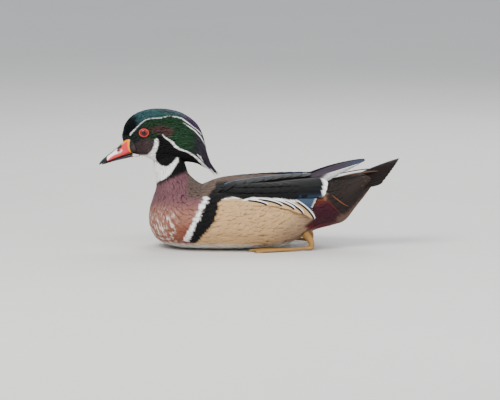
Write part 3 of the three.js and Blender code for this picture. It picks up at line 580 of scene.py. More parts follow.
def vent_tint(p, at, grain, colour):
    """The colour, covered by the dark rump with its brown lower edge and by the maroon patch,
    which turns to rust at its top and to red at its bottom."""
    x, h = at.T
    rump = ramp(x - 1.5 * grain, 88, 94)
    edge = ramp(np.interp(x, *VENT_EDGE) + 9 - h + 1.5 * grain, -4, 4)
    colour = blend(colour, blend(plain(RUMP_BLACK, len(p)), VENT_BROWN, edge), rump)
    red = within(at + 1.2 * grain[:, None], AREA_MAROON, 4.0)
    rusty = ramp(h - 0.25 * (x - 78) + 1.5 * grain, 44, 56) * 0.85
    maroon = blend(plain(MAROON, len(p)), RUST, rusty)
    maroon = blend(maroon, VENT_RED, ramp(-h + 0.12 * (x - 74), -27, -21))
    return blend(colour, maroon, red), rump, red


def body_tint(p):
    """Colour, gloss and vermiculation of neck, breast, flanks, back and rump. Each part covers
    the ones before it by a smooth step across its edge, made uneven by a grain."""
    at = picture(p)
    x, h = at.T
    grain, wide_grain = noise(p, 5, 5), noise(p, 26, 6)
    colour = breast_tint(p, at, grain, wide_grain)
    back = ramp(x + 1.2 * grain, -77, -70) * ramp(h + 1.5 * grain, 54, 60)
    colour = blend(colour, blend(plain(NAPE_BROWN, len(p)), MANTLE, ramp(x, -66, -40)), back)
    colour = colour * (1 + 0.16 * grain * back)[:, None]
    collar = ramp(h - 0.44 * (x + 109.3) - 1.0 * grain, 70.5, 77) * (1 - back)
    colour = blend(colour, JET, collar)
    behind_bar = x - (-44 - 0.6 * (40 - h))
    buff = blend(plain(BUFF, len(p)), BUFF_GREY, ramp(x + 1.2 * (22 - h) + 4 * wide_grain, 22, 70))
    colour = blend(colour, buff, ramp(behind_bar, -2, 2) * ramp(-h, -68, -64))
    vermicule = ramp(behind_bar, 0, 8) * ramp(-h, -60, -50) * ramp(h, 4, 14)
    line, above = flank_edge(at)
    wing = np.maximum(within(at, AREA_WING, 0.8), above * ramp(-h, -80, -74))
    line = line * (1 - above) * (1 - wing)
    colour = blend(blend(colour, WHITE, line), WING_BLACK, wing)
    belly = ramp(-p[:, 2] + 1.5 * grain, -12, -4) * ramp(x, -108, -88)
    colour = blend(colour, BELLY, belly)
    colour, rump, red = vent_tint(p, at, grain, colour)
    white = np.maximum(within(at, AREA_WHITE_BAR, 0.4), within(at, AREA_STRAP, 0.9))
    black = within(at + 0.5 * grain[:, None], AREA_BLACK_BAR, 1.3)
    colour = blend(blend(colour, JET * 1.3, black), WHITE, white)
    gloss = 0.55 * ramp(h, 40, 62) * ramp(-x, 66, 76) * (1 - collar) + 0.35 * red + 0.3 * wing
    vermicule = vermicule * (1 - np.maximum.reduce([white, black, red, rump, wing, line, belly * 0.8]))
    return colour, gloss * (1 - white), vermicule


# Meshes from arrays


def set_attributes(mesh, attributes):
    """Gives a mesh vector attributes, one value for each point."""
    for label, values in attributes.items():
        if label in mesh.attributes:
            mesh.attributes.remove(mesh.attributes[label])
        layer = mesh.attributes.new(label, "FLOAT_VECTOR", "POINT")
        layer.data.foreach_set("vector", np.ascontiguousarray(values, np.float32).ravel())


def place_piece(name, mesh, replaces):
    """The mesh as a finished piece of the scene, which rides on the one body."""
    piece = bpy.data.objects.new(name, mesh)
    bpy.context.scene.collection.objects.link(piece)
    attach(piece, "root")
    if replaces:
        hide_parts(*replaces)
    return piece


def mesh_piece(name, verts, quads, slot, material, replaces=(), attributes=(), bake=None):
    """A closed surface from points in millimetres and four-cornered faces. Attributes are one
    vector for each point, and bake is a pair of coordinates for each point."""
    mesh = bpy.data.meshes.new(name)
    verts = np.ascontiguousarray(verts, np.float32) * MM
    quads = np.ascontiguousarray(quads, np.int32)
    mesh.vertices.add(len(verts))
    mesh.vertices.foreach_set("co", verts.ravel())
    mesh.loops.add(quads.size)
    mesh.loops.foreach_set("vertex_index", quads.ravel())
    mesh.polygons.add(len(quads))
    mesh.polygons.foreach_set("loop_start", np.arange(0, quads.size, 4, dtype=np.int32))
    mesh.update(calc_edges=True)
    mesh.polygons.foreach_set("use_smooth", np.ones(len(quads), bool))
    set_attributes(mesh, dict(attributes))
    if bake is not None:
        layer = mesh.uv_layers.new(name="OFBake")
        layer.data.foreach_set("uv", np.ascontiguousarray(bake[quads.ravel()], np.float32).ravel())
    mesh.materials.append(material)
    return place_piece(name, mesh, replaces)


def outward(verts, quads):
    """The faces, turned over if the volume that they close comes out negative."""
    a, b, c, d = (verts[quads[:, k]] for k in range(4))
    volume = np.einsum("ij,ij->i", a, np.cross(b, c)).sum() + np.einsum("ij,ij->i", a, np.cross(c, d)).sum()
    return quads if volume > 0 else quads[:, ::-1]


def tube_faces(rows, columns):
    """Quads of a closed tube of rings, each ring a loop, with its ends closed by strips across."""
    r, c = np.meshgrid(np.arange(rows - 1), np.arange(columns), indexing="ij")
    n = (c + 1) % columns
    side = np.stack([r * columns + c, r * columns + n, (r + 1) * columns + n, (r + 1) * columns + c], -1)
    k = np.arange(columns // 2 - 1)
    cap = np.stack([k, columns - 1 - k, columns - 2 - k, k + 1], -1)
    cap[0, 1] = columns - 1
    end = (rows - 1) * columns + cap[:, ::-1]
    return np.concatenate([side.reshape(-1, 4), cap, end])


def tube(points):
    """Points and faces of a closed tube from an array of rings of points."""
    rows, columns = points.shape[:2]
    verts = points.reshape(-1, 3)
    return verts, outward(verts, tube_faces(rows, columns))


# Feathers


def vane_width(t, blunt):
    """Half width along a feather: it swells as a quarter sine over its first half, then rounds
    off as a superellipse whose power is how blunt the tip is."""
    rise = 0.5 + 0.5 * np.sin(np.clip(t / 0.5, 0, 1) * math.pi / 2)
    fall = np.sqrt(np.clip(1 - np.clip((t - 0.45) / 0.55, 0, 1) ** blunt, 0, 1))
    return np.maximum(rise * fall, 0.03)


def along_stations(count):
    """Stations along a feather, closer together towards its tip: the rest of the way to the tip
    is a power of an even step."""
    return 1 - (1 - np.linspace(0, 1, count)) ** 1.5


class Plumage:
    """Feathers gathered into one mesh. Each is a lens: a top of a few columns of points that
    bulges along the shaft, and one row below it that closes it."""

    def __init__(self):
        self.verts, self.quads, self.bakes = [], [], []
        self.values = {"tint": [], "finish": [], "vane": [], "share": []}
        self.count = 0

    def add(self, place, size, width, tint, root, blunt=2.5, stations=6, columns=5, thick=0.25,
            patch=0.003, camber=0.12, edge=0.0):
        """Adds feathers of given lengths and widths. place(t, off, height) gives the points for
        arrays shaped (feather, station, column), where off is a share across times the half
        width, wavy by edge, and height is a parabola across it times camber and width.
        tint(points, t, u, luck) gives colour and finish, and root each one's place on the unwrap."""
        count = len(size)
        size, width = np.asarray(size, float), np.asarray(width, float)
        t = along_stations(stations)[None, :, None] * np.ones((count, 1, columns))
        u = np.linspace(-1, 1, columns)[None, None, :] * np.ones((count, stations, 1))
        half = width[:, None, None] / 2 * vane_width(t, blunt)
        wave = rng.uniform(0, 6.28, (count, 1, 1))
        half = half * (1 + edge * np.sin(t * 9 + wave * 2 + u))
        bulge = camber * width[:, None, None] * (1 - u ** 2) * vane_width(t, blunt)
        top = place(t, u * half, bulge)
        shaft = slice(columns // 2, columns // 2 + 1)
        low = place(t[..., shaft], 0 * half[..., shaft], bulge[..., shaft] - thick)
        points = np.concatenate([top, low], 2)
        loop = columns + 1
        face = tube_faces(stations, loop)
        quads = (face[None] + (np.arange(count) * stations * loop)[:, None, None]).reshape(-1, 4)
        if not np.array_equal(outward(points[0].reshape(-1, 3), face), face):
            quads = quads[:, ::-1]
        full_t = np.concatenate([t, t[..., :1]], 2)
        full_u = np.concatenate([u, 0 * u[..., :1]], 2)
        full_half = np.concatenate([half, half[..., :1]], 2)
        luck = np.broadcast_to(rng.uniform(0, 1, (count, 1, 1)), full_t.shape)
        colour, finish = tint(points, full_t, full_u, luck)
        vane = np.stack([full_u * full_half, size[:, None, None] * full_t, luck], -1)
        share = np.stack([full_u, full_t, np.abs(full_half)], -1)
        for key, values in (("tint", colour), ("finish", finish), ("vane", vane), ("share", share)):
            self.values[key].append(values.reshape(-1, 3))
        corner = np.asarray(root, float)[:, None, None]
        self.bakes.append((corner + np.stack([full_u / 2, full_t - 0.5], -1) * patch).reshape(-1, 2))
        self.verts.append(points.reshape(-1, 3))
        self.quads.append(quads + self.count)
        self.count += count * stations * loop

    def mirrored(self):
        """The same feathers on the bird's other side."""
        other = Plumage()
        other.verts = [v * [1, -1, 1] for v in self.verts]
        other.quads = [q[:, ::-1] for q in self.quads]
        other.bakes = self.bakes
        other.values = self.values
        other.count = self.count
        return other

    def piece(self, name, slot, material, replaces=()):
        """All the feathers as one piece of the scene."""
        values = {key: np.concatenate(parts) for key, parts in self.values.items()}
        return mesh_piece(
            name, np.concatenate(self.verts), np.concatenate(self.quads), slot, material,
            replaces, values, np.concatenate(self.bakes),
        )


def laid(ladder, roots, tips, lifts, bow=0.0):
    """A feather's place on a ladder's form. Its shaft runs straight in place and angle from root
    to tip, bowed by a sine, and a distance off the shaft is turned into steps of place and
    angle by the tangents, so that the vane follows the form."""
    roots, tips = np.asarray(roots, float), np.asarray(tips, float)
    lifts = np.broadcast_to(np.asarray(lifts, float), (len(roots), 2))

    def middle(t):
        """Place and angle of the shaft."""
        s = roots[:, 0, None, None] + (tips - roots)[:, 0, None, None] * t
        bend = np.reshape(bow, (-1, 1, 1)) * np.sin(math.pi * t)
        return s, roots[:, 1, None, None] + (tips - roots)[:, 1, None, None] * t + bend

    def place(t, off, height):
        """The form's point beside the shaft, raised along the normal by the lift and height."""
        s, angle = middle(t)
        along, around, normal = frame_at(ladder, s, angle)
        s1, angle1 = middle(t + 0.02)
        run = along * (s1 - s)[..., None] + around * (angle1 - angle)[..., None]
        across = np.cross(normal, run)
        across /= np.linalg.norm(across, axis=-1, keepdims=True) + 1e-12
        across *= off[..., None]
        aa, ar, rr = (along ** 2).sum(-1), (along * around).sum(-1), (around ** 2).sum(-1)
        ta, tr = (along * across).sum(-1), (around * across).sum(-1)
        det = aa * rr - ar * ar + 1e-9
        ds, da = (ta * rr - tr * ar) / det, (tr * aa - ta * ar) / det
        lift = lifts[:, 0, None, None] + (lifts[:, 1] - lifts[:, 0])[:, None, None] * t + height
        return skin(ladder, s + ds, angle + da) + normal * lift[..., None]

    return place


def free(roots, tips, faces, arch):
    """A feather's place in the open: straight from root to tip, facing a given way, its
    middle raised by a sine times arch."""
    roots, tips, faces = (np.asarray(a, float)[:, None, None] for a in (roots, tips, faces))
    run = tips - roots
    across = np.cross(faces, run)
    across /= np.linalg.norm(across, axis=-1, keepdims=True)
    up = np.cross(run, across)
    up /= np.linalg.norm(up, axis=-1, keepdims=True)

    def place(t, off, height):
        """The straight shaft's point, off to the side and up."""
        rise = height + arch * np.sin(math.pi * t)
        return roots + run * t[..., None] + across * off[..., None] + up * rise[..., None]

    return place


def length_between(a, b):
    """Distances between points and others, one for each feather."""
    return np.linalg.norm(a - b, axis=-1)


def scatter(ladder, s_range, spacing, keep, tries):
    """Random roots all round a ladder, none nearer to another than the spacing there. Candidates
    fall evenly per area over the spacing squared, and a grid of cells finds each one's
    neighbours."""
    s = rng.uniform(*s_range, tries)
    angle = rng.uniform(0, 2 * math.pi, tries)
    along, around, _ = frame_at(ladder, s, angle)
    p = skin(ladder, s, angle)
    apart = spacing(p)
    weight = length_between(np.cross(along, around), 0) / apart ** 2
    chosen = (rng.uniform(0, np.quantile(weight, 0.97), tries) < weight) & keep(p, angle)
    s, angle, p, apart = s[chosen], angle[chosen], p[chosen], apart[chosen]
    held, taken = {}, []
    steps = [(i, j, k) for i in (-1, 0, 1) for j in (-1, 0, 1) for k in (-1, 0, 1)]
    points, reach = p.tolist(), (apart ** 2).tolist()
    for n, (cx, cy, cz) in enumerate(np.floor(p / float(apart.max())).astype(int).tolist()):
        x, y, z = points[n]
        near = (points[m] for i, j, k in steps for m in held.get((cx + i, cy + j, cz + k), ()))
        if any((x - ox) ** 2 + (y - oy) ** 2 + (z - oz) ** 2 < reach[n] for ox, oy, oz in near):
            continue
        held.setdefault((cx, cy, cz), []).append(n)
        taken.append(n)
    return s[taken], angle[taken], p[taken], apart[taken]


def unwrap(ladder, s, angle, corner):
    """A root's place on the unwrap: places along one half of the square, angles up it."""
    u = corner + 0.02 + 0.44 * s / (len(ladder) - 1)
    return np.stack([u, 0.02 + 0.96 * np.mod(angle, 2 * math.pi) / (2 * math.pi)], -1)


def unwrap_row(first, step, count, height):
    """Places on the unwrap for a row of feathers, side by side at one height."""
    return np.stack([first + np.arange(count) * step, np.full(count, height)], -1)


# Materials


class Signal:
    """A number or colour that varies over a surface. Its operators add nodes to the material."""

    def __init__(self, net, socket):
        self.net, self.socket = net, socket

    def _math(self, operation, *values):
        """One operation on signals and numbers."""
        return self.net.node("ShaderNodeMath", {"operation": operation}, dict(enumerate(values)))

    def __add__(self, other):
        return self._math("ADD", self, other)

    def __sub__(self, other):
        return self._math("SUBTRACT", self, other)

    def __rsub__(self, other):
        return self._math("SUBTRACT", other, self)

    def __mul__(self, other):
        return self._math("MULTIPLY", self, other)

    def sine(self):
        """The sine of the number, in radians."""
        return self._math("SINE", self)

    def size(self):
        """The number without its sign."""
        return self._math("ABSOLUTE", self)

    def step(self, low, high):
        """A smooth step from 0 at low to 1 at high."""
        return self.net.node(
            "ShaderNodeMapRange", {"interpolation_type": "SMOOTHSTEP"},
            {"Value": self, "From Min": low, "From Max": high},
        )

    __radd__, __rmul__ = __add__, __mul__


class Net:
    """A material's nodes, with one method that adds a node and returns one of its outputs."""

    def __init__(self, name, **values):
        self.material = bpy.data.materials.new(name)
        self.material.use_nodes = True
        self.tree = self.material.node_tree
        self.shader = self.tree.nodes["Principled BSDF"]
        for key, value in values.items():
            self.shader.inputs[key.replace("_", " ")].default_value = value

    def node(self, kind, settings, values, output=0):
        """A node of a kind with its settings, and with values or signals for its sockets."""
        node = self.tree.nodes.new(kind)
        for key, value in settings.items():
            setattr(node, key, value)
        for key, value in values.items():
            self.feed(node.inputs[key], value)
        return Signal(self, node.outputs[output])

    def feed(self, socket, value):
        """Links a signal to a socket, or sets the socket's value."""
        if isinstance(value, Signal):
            self.tree.links.new(value.socket, socket)
        else:
            socket.default_value = value

    def set(self, name, value):
        """Feeds one of the shader's own sockets."""
        self.feed(self.shader.inputs[name], value)

    def attribute(self, name):
        """A vector that comes with each point of the mesh."""
        return self.node("ShaderNodeAttribute", {"attribute_name": name}, {}, "Vector")

    def axes(self, vector):
        """The three numbers of a vector."""
        first = self.node("ShaderNodeSeparateXYZ", {}, {0: vector})
        return [Signal(self, output) for output in first.socket.node.outputs]

    def place(self):
        """The place on the object, in metres."""
        return self.node("ShaderNodeTexCoord", {}, {}, "Object")

    def grain(self, scale, detail=3.0):
        """Noise between 0 and 1 over the place, with a number of grains to the metre."""
        values = {"Vector": self.place(), "Scale": scale, "Detail": detail, "Roughness": 0.55}
        return self.node("ShaderNodeTexNoise", {}, values)

    def mix(self, amount, a, b, way="MIX"):
        """Two colours, mixed by an amount."""
        mode = {"data_type": "RGBA", "blend_type": way}
        return self.node("ShaderNodeMix", mode, {0: amount, 6: a, 7: b}, 2)

    def shade(self, colour, factor):
        """A colour made lighter or darker by a factor."""
        grey = self.node("ShaderNodeCombineColor", {}, {0: factor, 1: factor, 2: factor})
        return self.mix(1.0, colour, grey, "MULTIPLY")

    def bump(self, height, distance, strength):
        """Relief whose height of 1 stands a distance in metres."""
        values = {"Height": height, "Distance": distance, "Strength": strength}
        return self.node("ShaderNodeBump", {}, values, "Normal")


def plumage_material(name, barb=2.6, shaft=0.5, bands=None):
    """Feathers: colour, gloss and vermiculation come with each point. Barbs run out from the
    shaft as fine slanting ridges, a sine of the distance along plus the distance off it, and
    bands, if any, are painted by a function of the share along and the distance to the rim."""
    net = Net(name, Specular_IOR_Level=0.16, Sheen_Weight=0.0, Sheen_Roughness=0.5)
    tint = net.attribute("tint")
    gloss, vermicule, luck = net.axes(net.attribute("finish"))
    off, along, _ = net.axes(net.attribute("vane"))
    _, share, half = net.axes(net.attribute("share"))
    fine = net.grain(900.0, 2.0)
    slant = (along + off.size() * -1.1 + fine * 0.9) * (6.283 / (2.2 / barb))
    ridges = slant.sine()
    colour = tint
    if bands:
        colour = bands(net, colour, share, half - off, fine)
    wave = net.grain(260.0)
    lines = ((along + wave * 3.2) * 5.2).sine().step(0.1, 0.75)
    colour = net.mix(vermicule * lines * 0.42, colour, VERMICULE)
    rachis = 1 - off.size().step(0.06, 0.2)
    tone_change = ridges * 0.07 + (luck - 0.5) * 0.1 + 1.0 + rachis * shaft * 0.12
    net.set("Base Color", net.shade(colour, tone_change))
    net.set("Metallic", gloss * 0.42)
    net.set("Roughness", 0.72 - gloss * 0.36 + fine * 0.1)
    net.set("Normal", net.bump(ridges * 0.5 + rachis * shaft, 0.00012, 0.8))
    return net.material


def flank_bands(net, colour, share, rim, fine):
    """Lines along the upper web of a flank feather, by the distance to its upper rim: a black
    rim, a white band and a black line, over all but the root."""
    rim = rim + (fine - 0.5) * 0.25
    shown = share.step(0.34, 0.46)
    for width, line in zip(FLANK_BAND_WIDTHS, (BLACK_LINE, WHITE_LINE, BLACK_LINE)):
        colour = net.mix((1 - rim.step(width - 0.12, width + 0.12)) * shown, colour, line)
    return colour


# The skin under the feathers


def ladder_grid(ladder, rows, columns, grow, end):
    """A ladder's form on an even grid of places, from its first rung to an end, and angles."""
    s = np.linspace(0, end, rows)[:, None]
    angle = np.linspace(0, 2 * math.pi, columns, endpoint=False)[None]
    return skin(ladder, s, angle, grow)


def gather(parts):
    """Points and faces of several surfaces as one mesh."""
    verts, quads, start = [], [], 0
    for part, faces in parts:
        verts.append(part)
        quads.append(faces + start)
        start += len(part)
    return np.concatenate(verts), np.concatenate(quads)


def make_skin(material):
    """Head and body forms, drawn in by the depth of the plumage, melted into one surface."""
    head = ladder_grid(HEAD, 120, SKIN_COLUMNS, -HEAD_SKIN_DEPTH, len(HEAD) - HEAD_SKIN_SHORT)
    body = ladder_grid(BODY, 180, SKIN_COLUMNS, -SKIN_DEPTH, len(BODY) - 1)
    rough = mesh_piece("rough_skin", *gather([tube(head), tube(body)]), "body", material)
    melt = rough.modifiers.new("melt", "REMESH")
    melt.mode = "VOXEL"
    melt.voxel_size = SKIN_VOXEL * MM
    smooth = rough.modifiers.new("smooth", "SMOOTH")
    smooth.iterations = 6
    smooth.factor = 0.5
    mesh = bpy.data.meshes.new_from_object(rough.evaluated_get(bpy.context.evaluated_depsgraph_get()))
    bpy.data.objects.remove(rough)
    mesh.name = "skin"
    p = np.zeros(len(mesh.vertices) * 3, np.float32)
    mesh.vertices.foreach_get("co", p)
    p = p.reshape(-1, 3) / MM
    tint, gloss, _ = body_tint(p)
    head_colour, head_gloss = head_tint(p)
    on_head = inside_ladder(HEAD, p, 0.6)
    tint = np.where(on_head[:, None], head_colour, tint)
    gloss = np.where(on_head, head_gloss, gloss)
    finish = np.stack([gloss * 0.5, 0 * gloss, 0 * gloss + 0.5], -1)
    set_attributes(mesh, {"tint": tint, "finish": finish, "vane": 0 * tint, "share": 0 * tint})
    mesh.polygons.foreach_set("use_smooth", np.ones(len(mesh.polygons), bool))
    return place_piece("skin", mesh, ("head", "neck", "torso", "rump", "crest"))


# The coat


def painted(paint, jitter=0.06):
    """Tint and finish for feathers from a function of the place, with a little luck each."""

    def tint(points, t, u, luck):
        """Colours of the places, made lighter or darker by luck, more so where they gloss."""
        flat = points.reshape(-1, 3)
        colour, gloss, *rest = paint(flat)
        vermicule = rest[0] if rest else np.zeros(len(flat))
        uneven = jitter * (0.4 + 4 * gloss.reshape(-1, 1))
        colour = colour * (1 + uneven * 2 * (luck.reshape(-1, 1) - 0.5))
        return colour, np.stack([gloss, vermicule, luck.ravel()], -1)

    return tint


def one_colour(colour, gloss, jitter=0.1):
    """One colour and gloss for whole feathers."""

    def paint(p):
        """The same for every place."""
        return plain(colour, len(p)), np.full(len(p), gloss)

    return painted(paint, jitter)


def coat(plumes, ladder, roots, long, wide, lifts, corner, tint, uneven, **shape):
    """Small feathers on a ladder from their roots' places, angles and spacings, each lying along
    it with a little sway. Long and wide are their sizes as multiples of the spacing."""
    s, angle, spacing = roots
    count = len(s)
    length = spacing * long * rng.uniform(0.85, 1.2, count)
    along, around, _ = frame_at(ladder, s, angle)
    reach, turn = length_between(along, 0), length_between(around, 0)
    sway = rng.normal(0, 0.09, count)
    tip_s = np.clip(s + length * np.cos(sway) / reach, 0, len(ladder) - 1.02)
    tip_angle = angle + length * np.sin(sway) / np.maximum(turn, 3)
    lift = np.stack([np.full(count, lifts[0]), lifts[1] - rng.uniform(0, uneven, count)], -1)
    first, last = np.stack([s, angle], -1), np.stack([tip_s, tip_angle], -1)
    place = laid(ladder, first, last, lift, rng.normal(0, 0.02, count))
    width = spacing * wide * rng.uniform(0.9, 1.15, count)
    plumes.add(place, length, width, tint, unwrap(ladder, s, angle, corner), **shape)


def wing_edges(x):
    """The folded wing's upper and lower edge as angles, straight from point to point along it."""
    return np.interp(x, *WING_TOP), np.interp(x, *WING_BOTTOM)


def under_wing(p, angle, margin=0.07):
    """True where the folded wing covers places, a margin inside its edges."""
    side = np.minimum(np.mod(angle, 2 * math.pi), 2 * math.pi - np.mod(angle, 2 * math.pi))
    top, bottom = wing_edges(p[:, 0])
    beside = (p[:, 0] > WING_FRONT) & (p[:, 0] < WING_BACK)
    return beside & (side > top + margin) & (side < bottom - margin)


def make_head_coat(material):
    """The finest feathers, on face and crown, denser round the eye and towards the bill."""

    def near_eye(p):
        """Distance from the eye in the side view."""
        return np.linalg.norm(p[:, [0, 2]] - np.array(EYE_AT), axis=-1)

    def spacing(p):
        """How far apart the roots are."""
        return np.clip(1.02 + 0.8 * ramp(p[:, 0], -138, -78) - 0.2 * ramp(-near_eye(p), -14, -7), 0.85, 2)

    def keep(p, angle):
        """True where the head shows and is neither eye nor bill."""
        return ~inside_ladder(BODY, p, -1.2) & (near_eye(p) > EYE_BARE) & ~inside_ladder(BILL, p, 0.2)

    s, angle, p, apart = scatter(HEAD, (0.25, 14.8), spacing, keep, 60000)
    face = s < 5.5
    for name, pick, long, wide, stations in (("face", face, 4.2, 1.9, 6), ("crown", ~face, 5.2, 1.7, 7)):
        plumes = Plumage()
        coat(
            plumes, HEAD, (s[pick], angle[pick], apart[pick]), long, wide, (-1.5, -0.12), 0.0,
            painted(head_tint, 0.03), 0.25, stations=stations, columns=3, thick=0.22, blunt=1.8, camber=0.1,
        )
        plumes.piece(f"coat_{name}", "crown", material)


def behind_bill_edge(p):
    """How far places lie behind the line where the face's feathers end on the bill."""
    x, h = picture(p).T
    return x - bill_edge(h)


def bill_edge(height):
    """x of the line where the face's feathers end on the bill, straight from point to point."""
    edge_x, edge_h = np.array(BILL_EDGE).T
    return np.interp(height, edge_h, edge_x)


def make_bill_base_coat(material):
    """Tiny feathers of the face that run over the base of both halves of the bill. Each lies
    with its tip back towards the head."""
    plumes = Plumage()
    for ladder, over, corner in ((BILL, LOWER_BILL, 0.75), (LOWER_BILL, BILL, 0.85)):

        def keep(p, angle):
            """True behind the edge, where neither head nor the other half covers the bill."""
            bare = inside_ladder(HEAD, p, -0.4) | inside_ladder(over, p, -0.2)
            return (behind_bill_edge(p) > 0.5) & ~bare

        s, angle, p, _ = scatter(ladder, (0.12, 1.7), lambda p: np.full(len(p), 0.8), keep, 9000)
        length = rng.uniform(2.4, 3.4, len(s))
        tip_s = np.maximum(s - length / length_between(frame_at(ladder, s, angle)[0], 0), 0.02)
        tips = np.stack([tip_s, angle + rng.normal(0, 0.03, len(s))], -1)
        place = laid(ladder, np.stack([s, angle], -1), tips, (-0.3, 0.35))
        plumes.add(
            place, length, np.full(len(s), 1.5), painted(head_tint, 0.1), unwrap(ladder, s, angle, corner),
            blunt=1.8, stations=6, columns=3, thick=0.2, camber=0.1,
        )
    plumes.piece("coat_bill_base", "crown", material)


def crest_strands(plumes, count, ends, scatters, arch, width, tint, height):
    """Loose strands past the crest's tip: straight lines between two places, each end moved by
    luck a little along x, y and z."""
    first, last = (
        np.array(end) + rng.normal(0, 1, (count, 3)) * amount for end, amount in zip(ends, scatters)
    )
    plumes.add(
        free(first, last, plain([0.05, -1, 0.1], count), arch), length_between(last, first),
        np.full(count, width), tint, unwrap_row(0.5, 0.02, count, height),
        blunt=1.2, stations=8, columns=3, thick=0.3,
    )


def make_crest(material):
    """The crest's long feathers, which reach further the further back they start, and the dark
    and white strands past its tip."""

    def spacing(p):
        """The same everywhere."""
        return np.full(len(p), 2.0)

    def keep(p, angle):
        """True where the neck doesn't cover the crest."""
        return ~inside_ladder(BODY, p, -1)

    s, angle, p, _ = scatter(HEAD, (6.4, 12.6), spacing, keep, 9000)
    plumes = Plumage()
    count = len(s)
    tip = np.minimum(s + rng.uniform(2.3, 3.6, count) + 0.25 * (s - 6.4), 15.96)
    tip_angle = angle + rng.normal(0, 0.1, count)
    lifts = np.stack([np.full(count, -1.6), -0.1 - rng.uniform(0, 0.5, count)], -1)
    first, last = np.stack([s, angle], -1), np.stack([tip, tip_angle], -1)
    plumes.add(
        laid(HEAD, first, last, lifts, rng.normal(0, 0.03, count)),
        length_between(skin(HEAD, s, angle), skin(HEAD, tip, tip_angle)), rng.uniform(2.2, 3.2, count),
        painted(head_tint), unwrap(HEAD, s, angle, 0.0),
        blunt=1.3, stations=15, columns=5, thick=0.25, camber=0.12, edge=0.06,
    )
    crest_strands(
        plumes, 16, ((-52, 0, 102), (-38.5, 0, 87.5)), ([3, 1.6, 4], [1.6, 1.2, 1.6]), 0.8, 0.7,
        one_colour(CREST_PURPLE * 0.7, 0.3), 0.98,
    )
    crest_strands(
        plumes, 8, ((-56, 0, 103), (-40, 0, 85.5)), ([2, 1.2, 1], [1, 1.2, 0.8]), 0.5, 0.8,
        one_colour(WHITE, 0.0), 0.94,
    )
    plumes.piece("coat_crest", "crest", material)


def make_body_coat(material):
    """The small feathers of neck, breast, back, belly, flanks and rump. They are finest on the
    neck and near the markings and largest on the flanks."""

    def spacing(p):
        """How far apart the roots are: smooth steps of the place, and less near the white bar."""
        x, z = p[:, 0], p[:, 2]
        apart = 1.9 + 0.8 * ramp(-z, -92, -66) + 1.0 * ramp(x, -92, -50) * ramp(-z, -80, -60)
        apart = apart - 0.8 * ramp(x, -48, -40) * ramp(-x, -100, -84) + 0.6 * ramp(-z, -20, -8)
        apart = apart - 0.9 * within(picture(p), AREA_WHITE_BAR, 8)
        return np.clip(apart, 1.5, 4.2)

    def keep(p, angle):
        """True where neither head, wing, flank vanes nor the flat of the belly takes the place."""
        vanes = within(picture(p), AREA_FLANK_VANES) > 0.5
        return ~inside_ladder(HEAD, p, -1.2) & ~under_wing(p, angle) & ~vanes & (p[:, 2] > 1.6)

    s, angle, p, apart = scatter(BODY, (0.1, 19.6), spacing, keep, 140000)
    left = p[:, 1] < 0
    x, z = p[:, 0], p[:, 2]
    neck = (x < -50) & (z > 74) & (s < 5.2)
    breast = ~neck & (x < -46)
    rump = x > 86
    back = ~neck & ~breast & ~rump & (z > 68)
    belly = ~neck & ~breast & ~rump & ~back & (z < 9)
    flank = ~(neck | breast | rump | back | belly)
    for name, slot, pick, long, wide, blunt, stations in (
        ("neck", "neck", neck, 5.0, 2.0, 1.7, 7),
        ("breast", "body", breast, 4.4, 2.3, 1.9, 7),
        ("back", "body", back, 3.8, 2.4, 2.2, 7),
        ("belly", "body", belly, 3.8, 2.3, 2.0, 6),
        ("flank_left", "body", flank & left, 6.6, 2.5, 1.7, 7),
        ("flank_right", "body", flank & ~left, 6.6, 2.5, 1.7, 7),
        ("rump", "rump", rump, 4.8, 2.2, 1.9, 8),
    ):
        plumes = Plumage()
        coat(
            plumes, BODY, (s[pick], angle[pick], apart[pick]), long, wide, (-0.85, -0.25), 0.5,
            painted(body_tint, 0.03), 0.07,
            stations=stations, columns=5, thick=0.1, blunt=blunt, camber=0.018, edge=0.05,
        )
        plumes.piece(f"coat_{name}", slot, material)


# Wings and flank vanes


def seen_places(points):
    """Places and angles on the folded form's left side from (x, height) in the picture."""
    points = np.asarray(points, float)
    return on_ladder(FOLDED, points[:, 0], points[:, 1])


def folded_rung(x):
    """The folded form's place at points along x."""
    return np.interp(x, FOLDED[:, 0], np.arange(len(FOLDED)))


def rimmed(colour, rim, gloss):
    """A colour that turns into another along each feather's upper rim."""

    def tint(points, t, u, luck):
        """Smooth steps of the share across and along."""
        over = ramp(u.ravel(), 0.35, 0.85) * ramp(t.ravel(), 0.2, 0.5)
        finish = np.stack([np.full(t.size, gloss), 0 * over, luck.ravel()], -1)
        return blend(plain(colour, t.size), rim, over), finish

    return tint


def tipped(colour, end, share, gloss):
    """A colour that turns into another over the end of each feather."""

    def tint(points, t, u, luck):
        """A smooth step along the feather, which starts later at its sides."""
        cut = share + 0.02 * np.abs(u.ravel())
        over = ramp(t.ravel(), cut - 0.02, cut + 0.02)
        base = blend(plain(colour, t.size), end, over) * (1 + 0.1 * (luck.reshape(-1, 1) - 0.5))
        return base, np.stack([gloss * (1 - over), 0 * over, luck.ravel()], -1)

    return tint


def tertial_tint(points, t, u, luck):
    """Glossy black, with a white band over the tip that bends back at its sides: a smooth step
    along the feather, which starts earlier by a square of the share across."""
    flat_t, flat_u = t.ravel(), u.ravel()
    cut = 0.915 - 0.02 * flat_u ** 2
    white = ramp(flat_t, cut - 0.012, cut + 0.012)
    # Towards its lower rim the black turns part way to blue: partly the feather's iridescence, partly
    # painted sheen
    colour = blend(plain(WING_BLACK, t.size), WING_BLUE_AND_SHEEN * 0.6, ramp(-flat_u, 0.3, 1) * 0.5)
    return blend(colour, WHITE, white), np.stack([0.5 * (1 - white), 0 * white, luck.ravel()], -1)


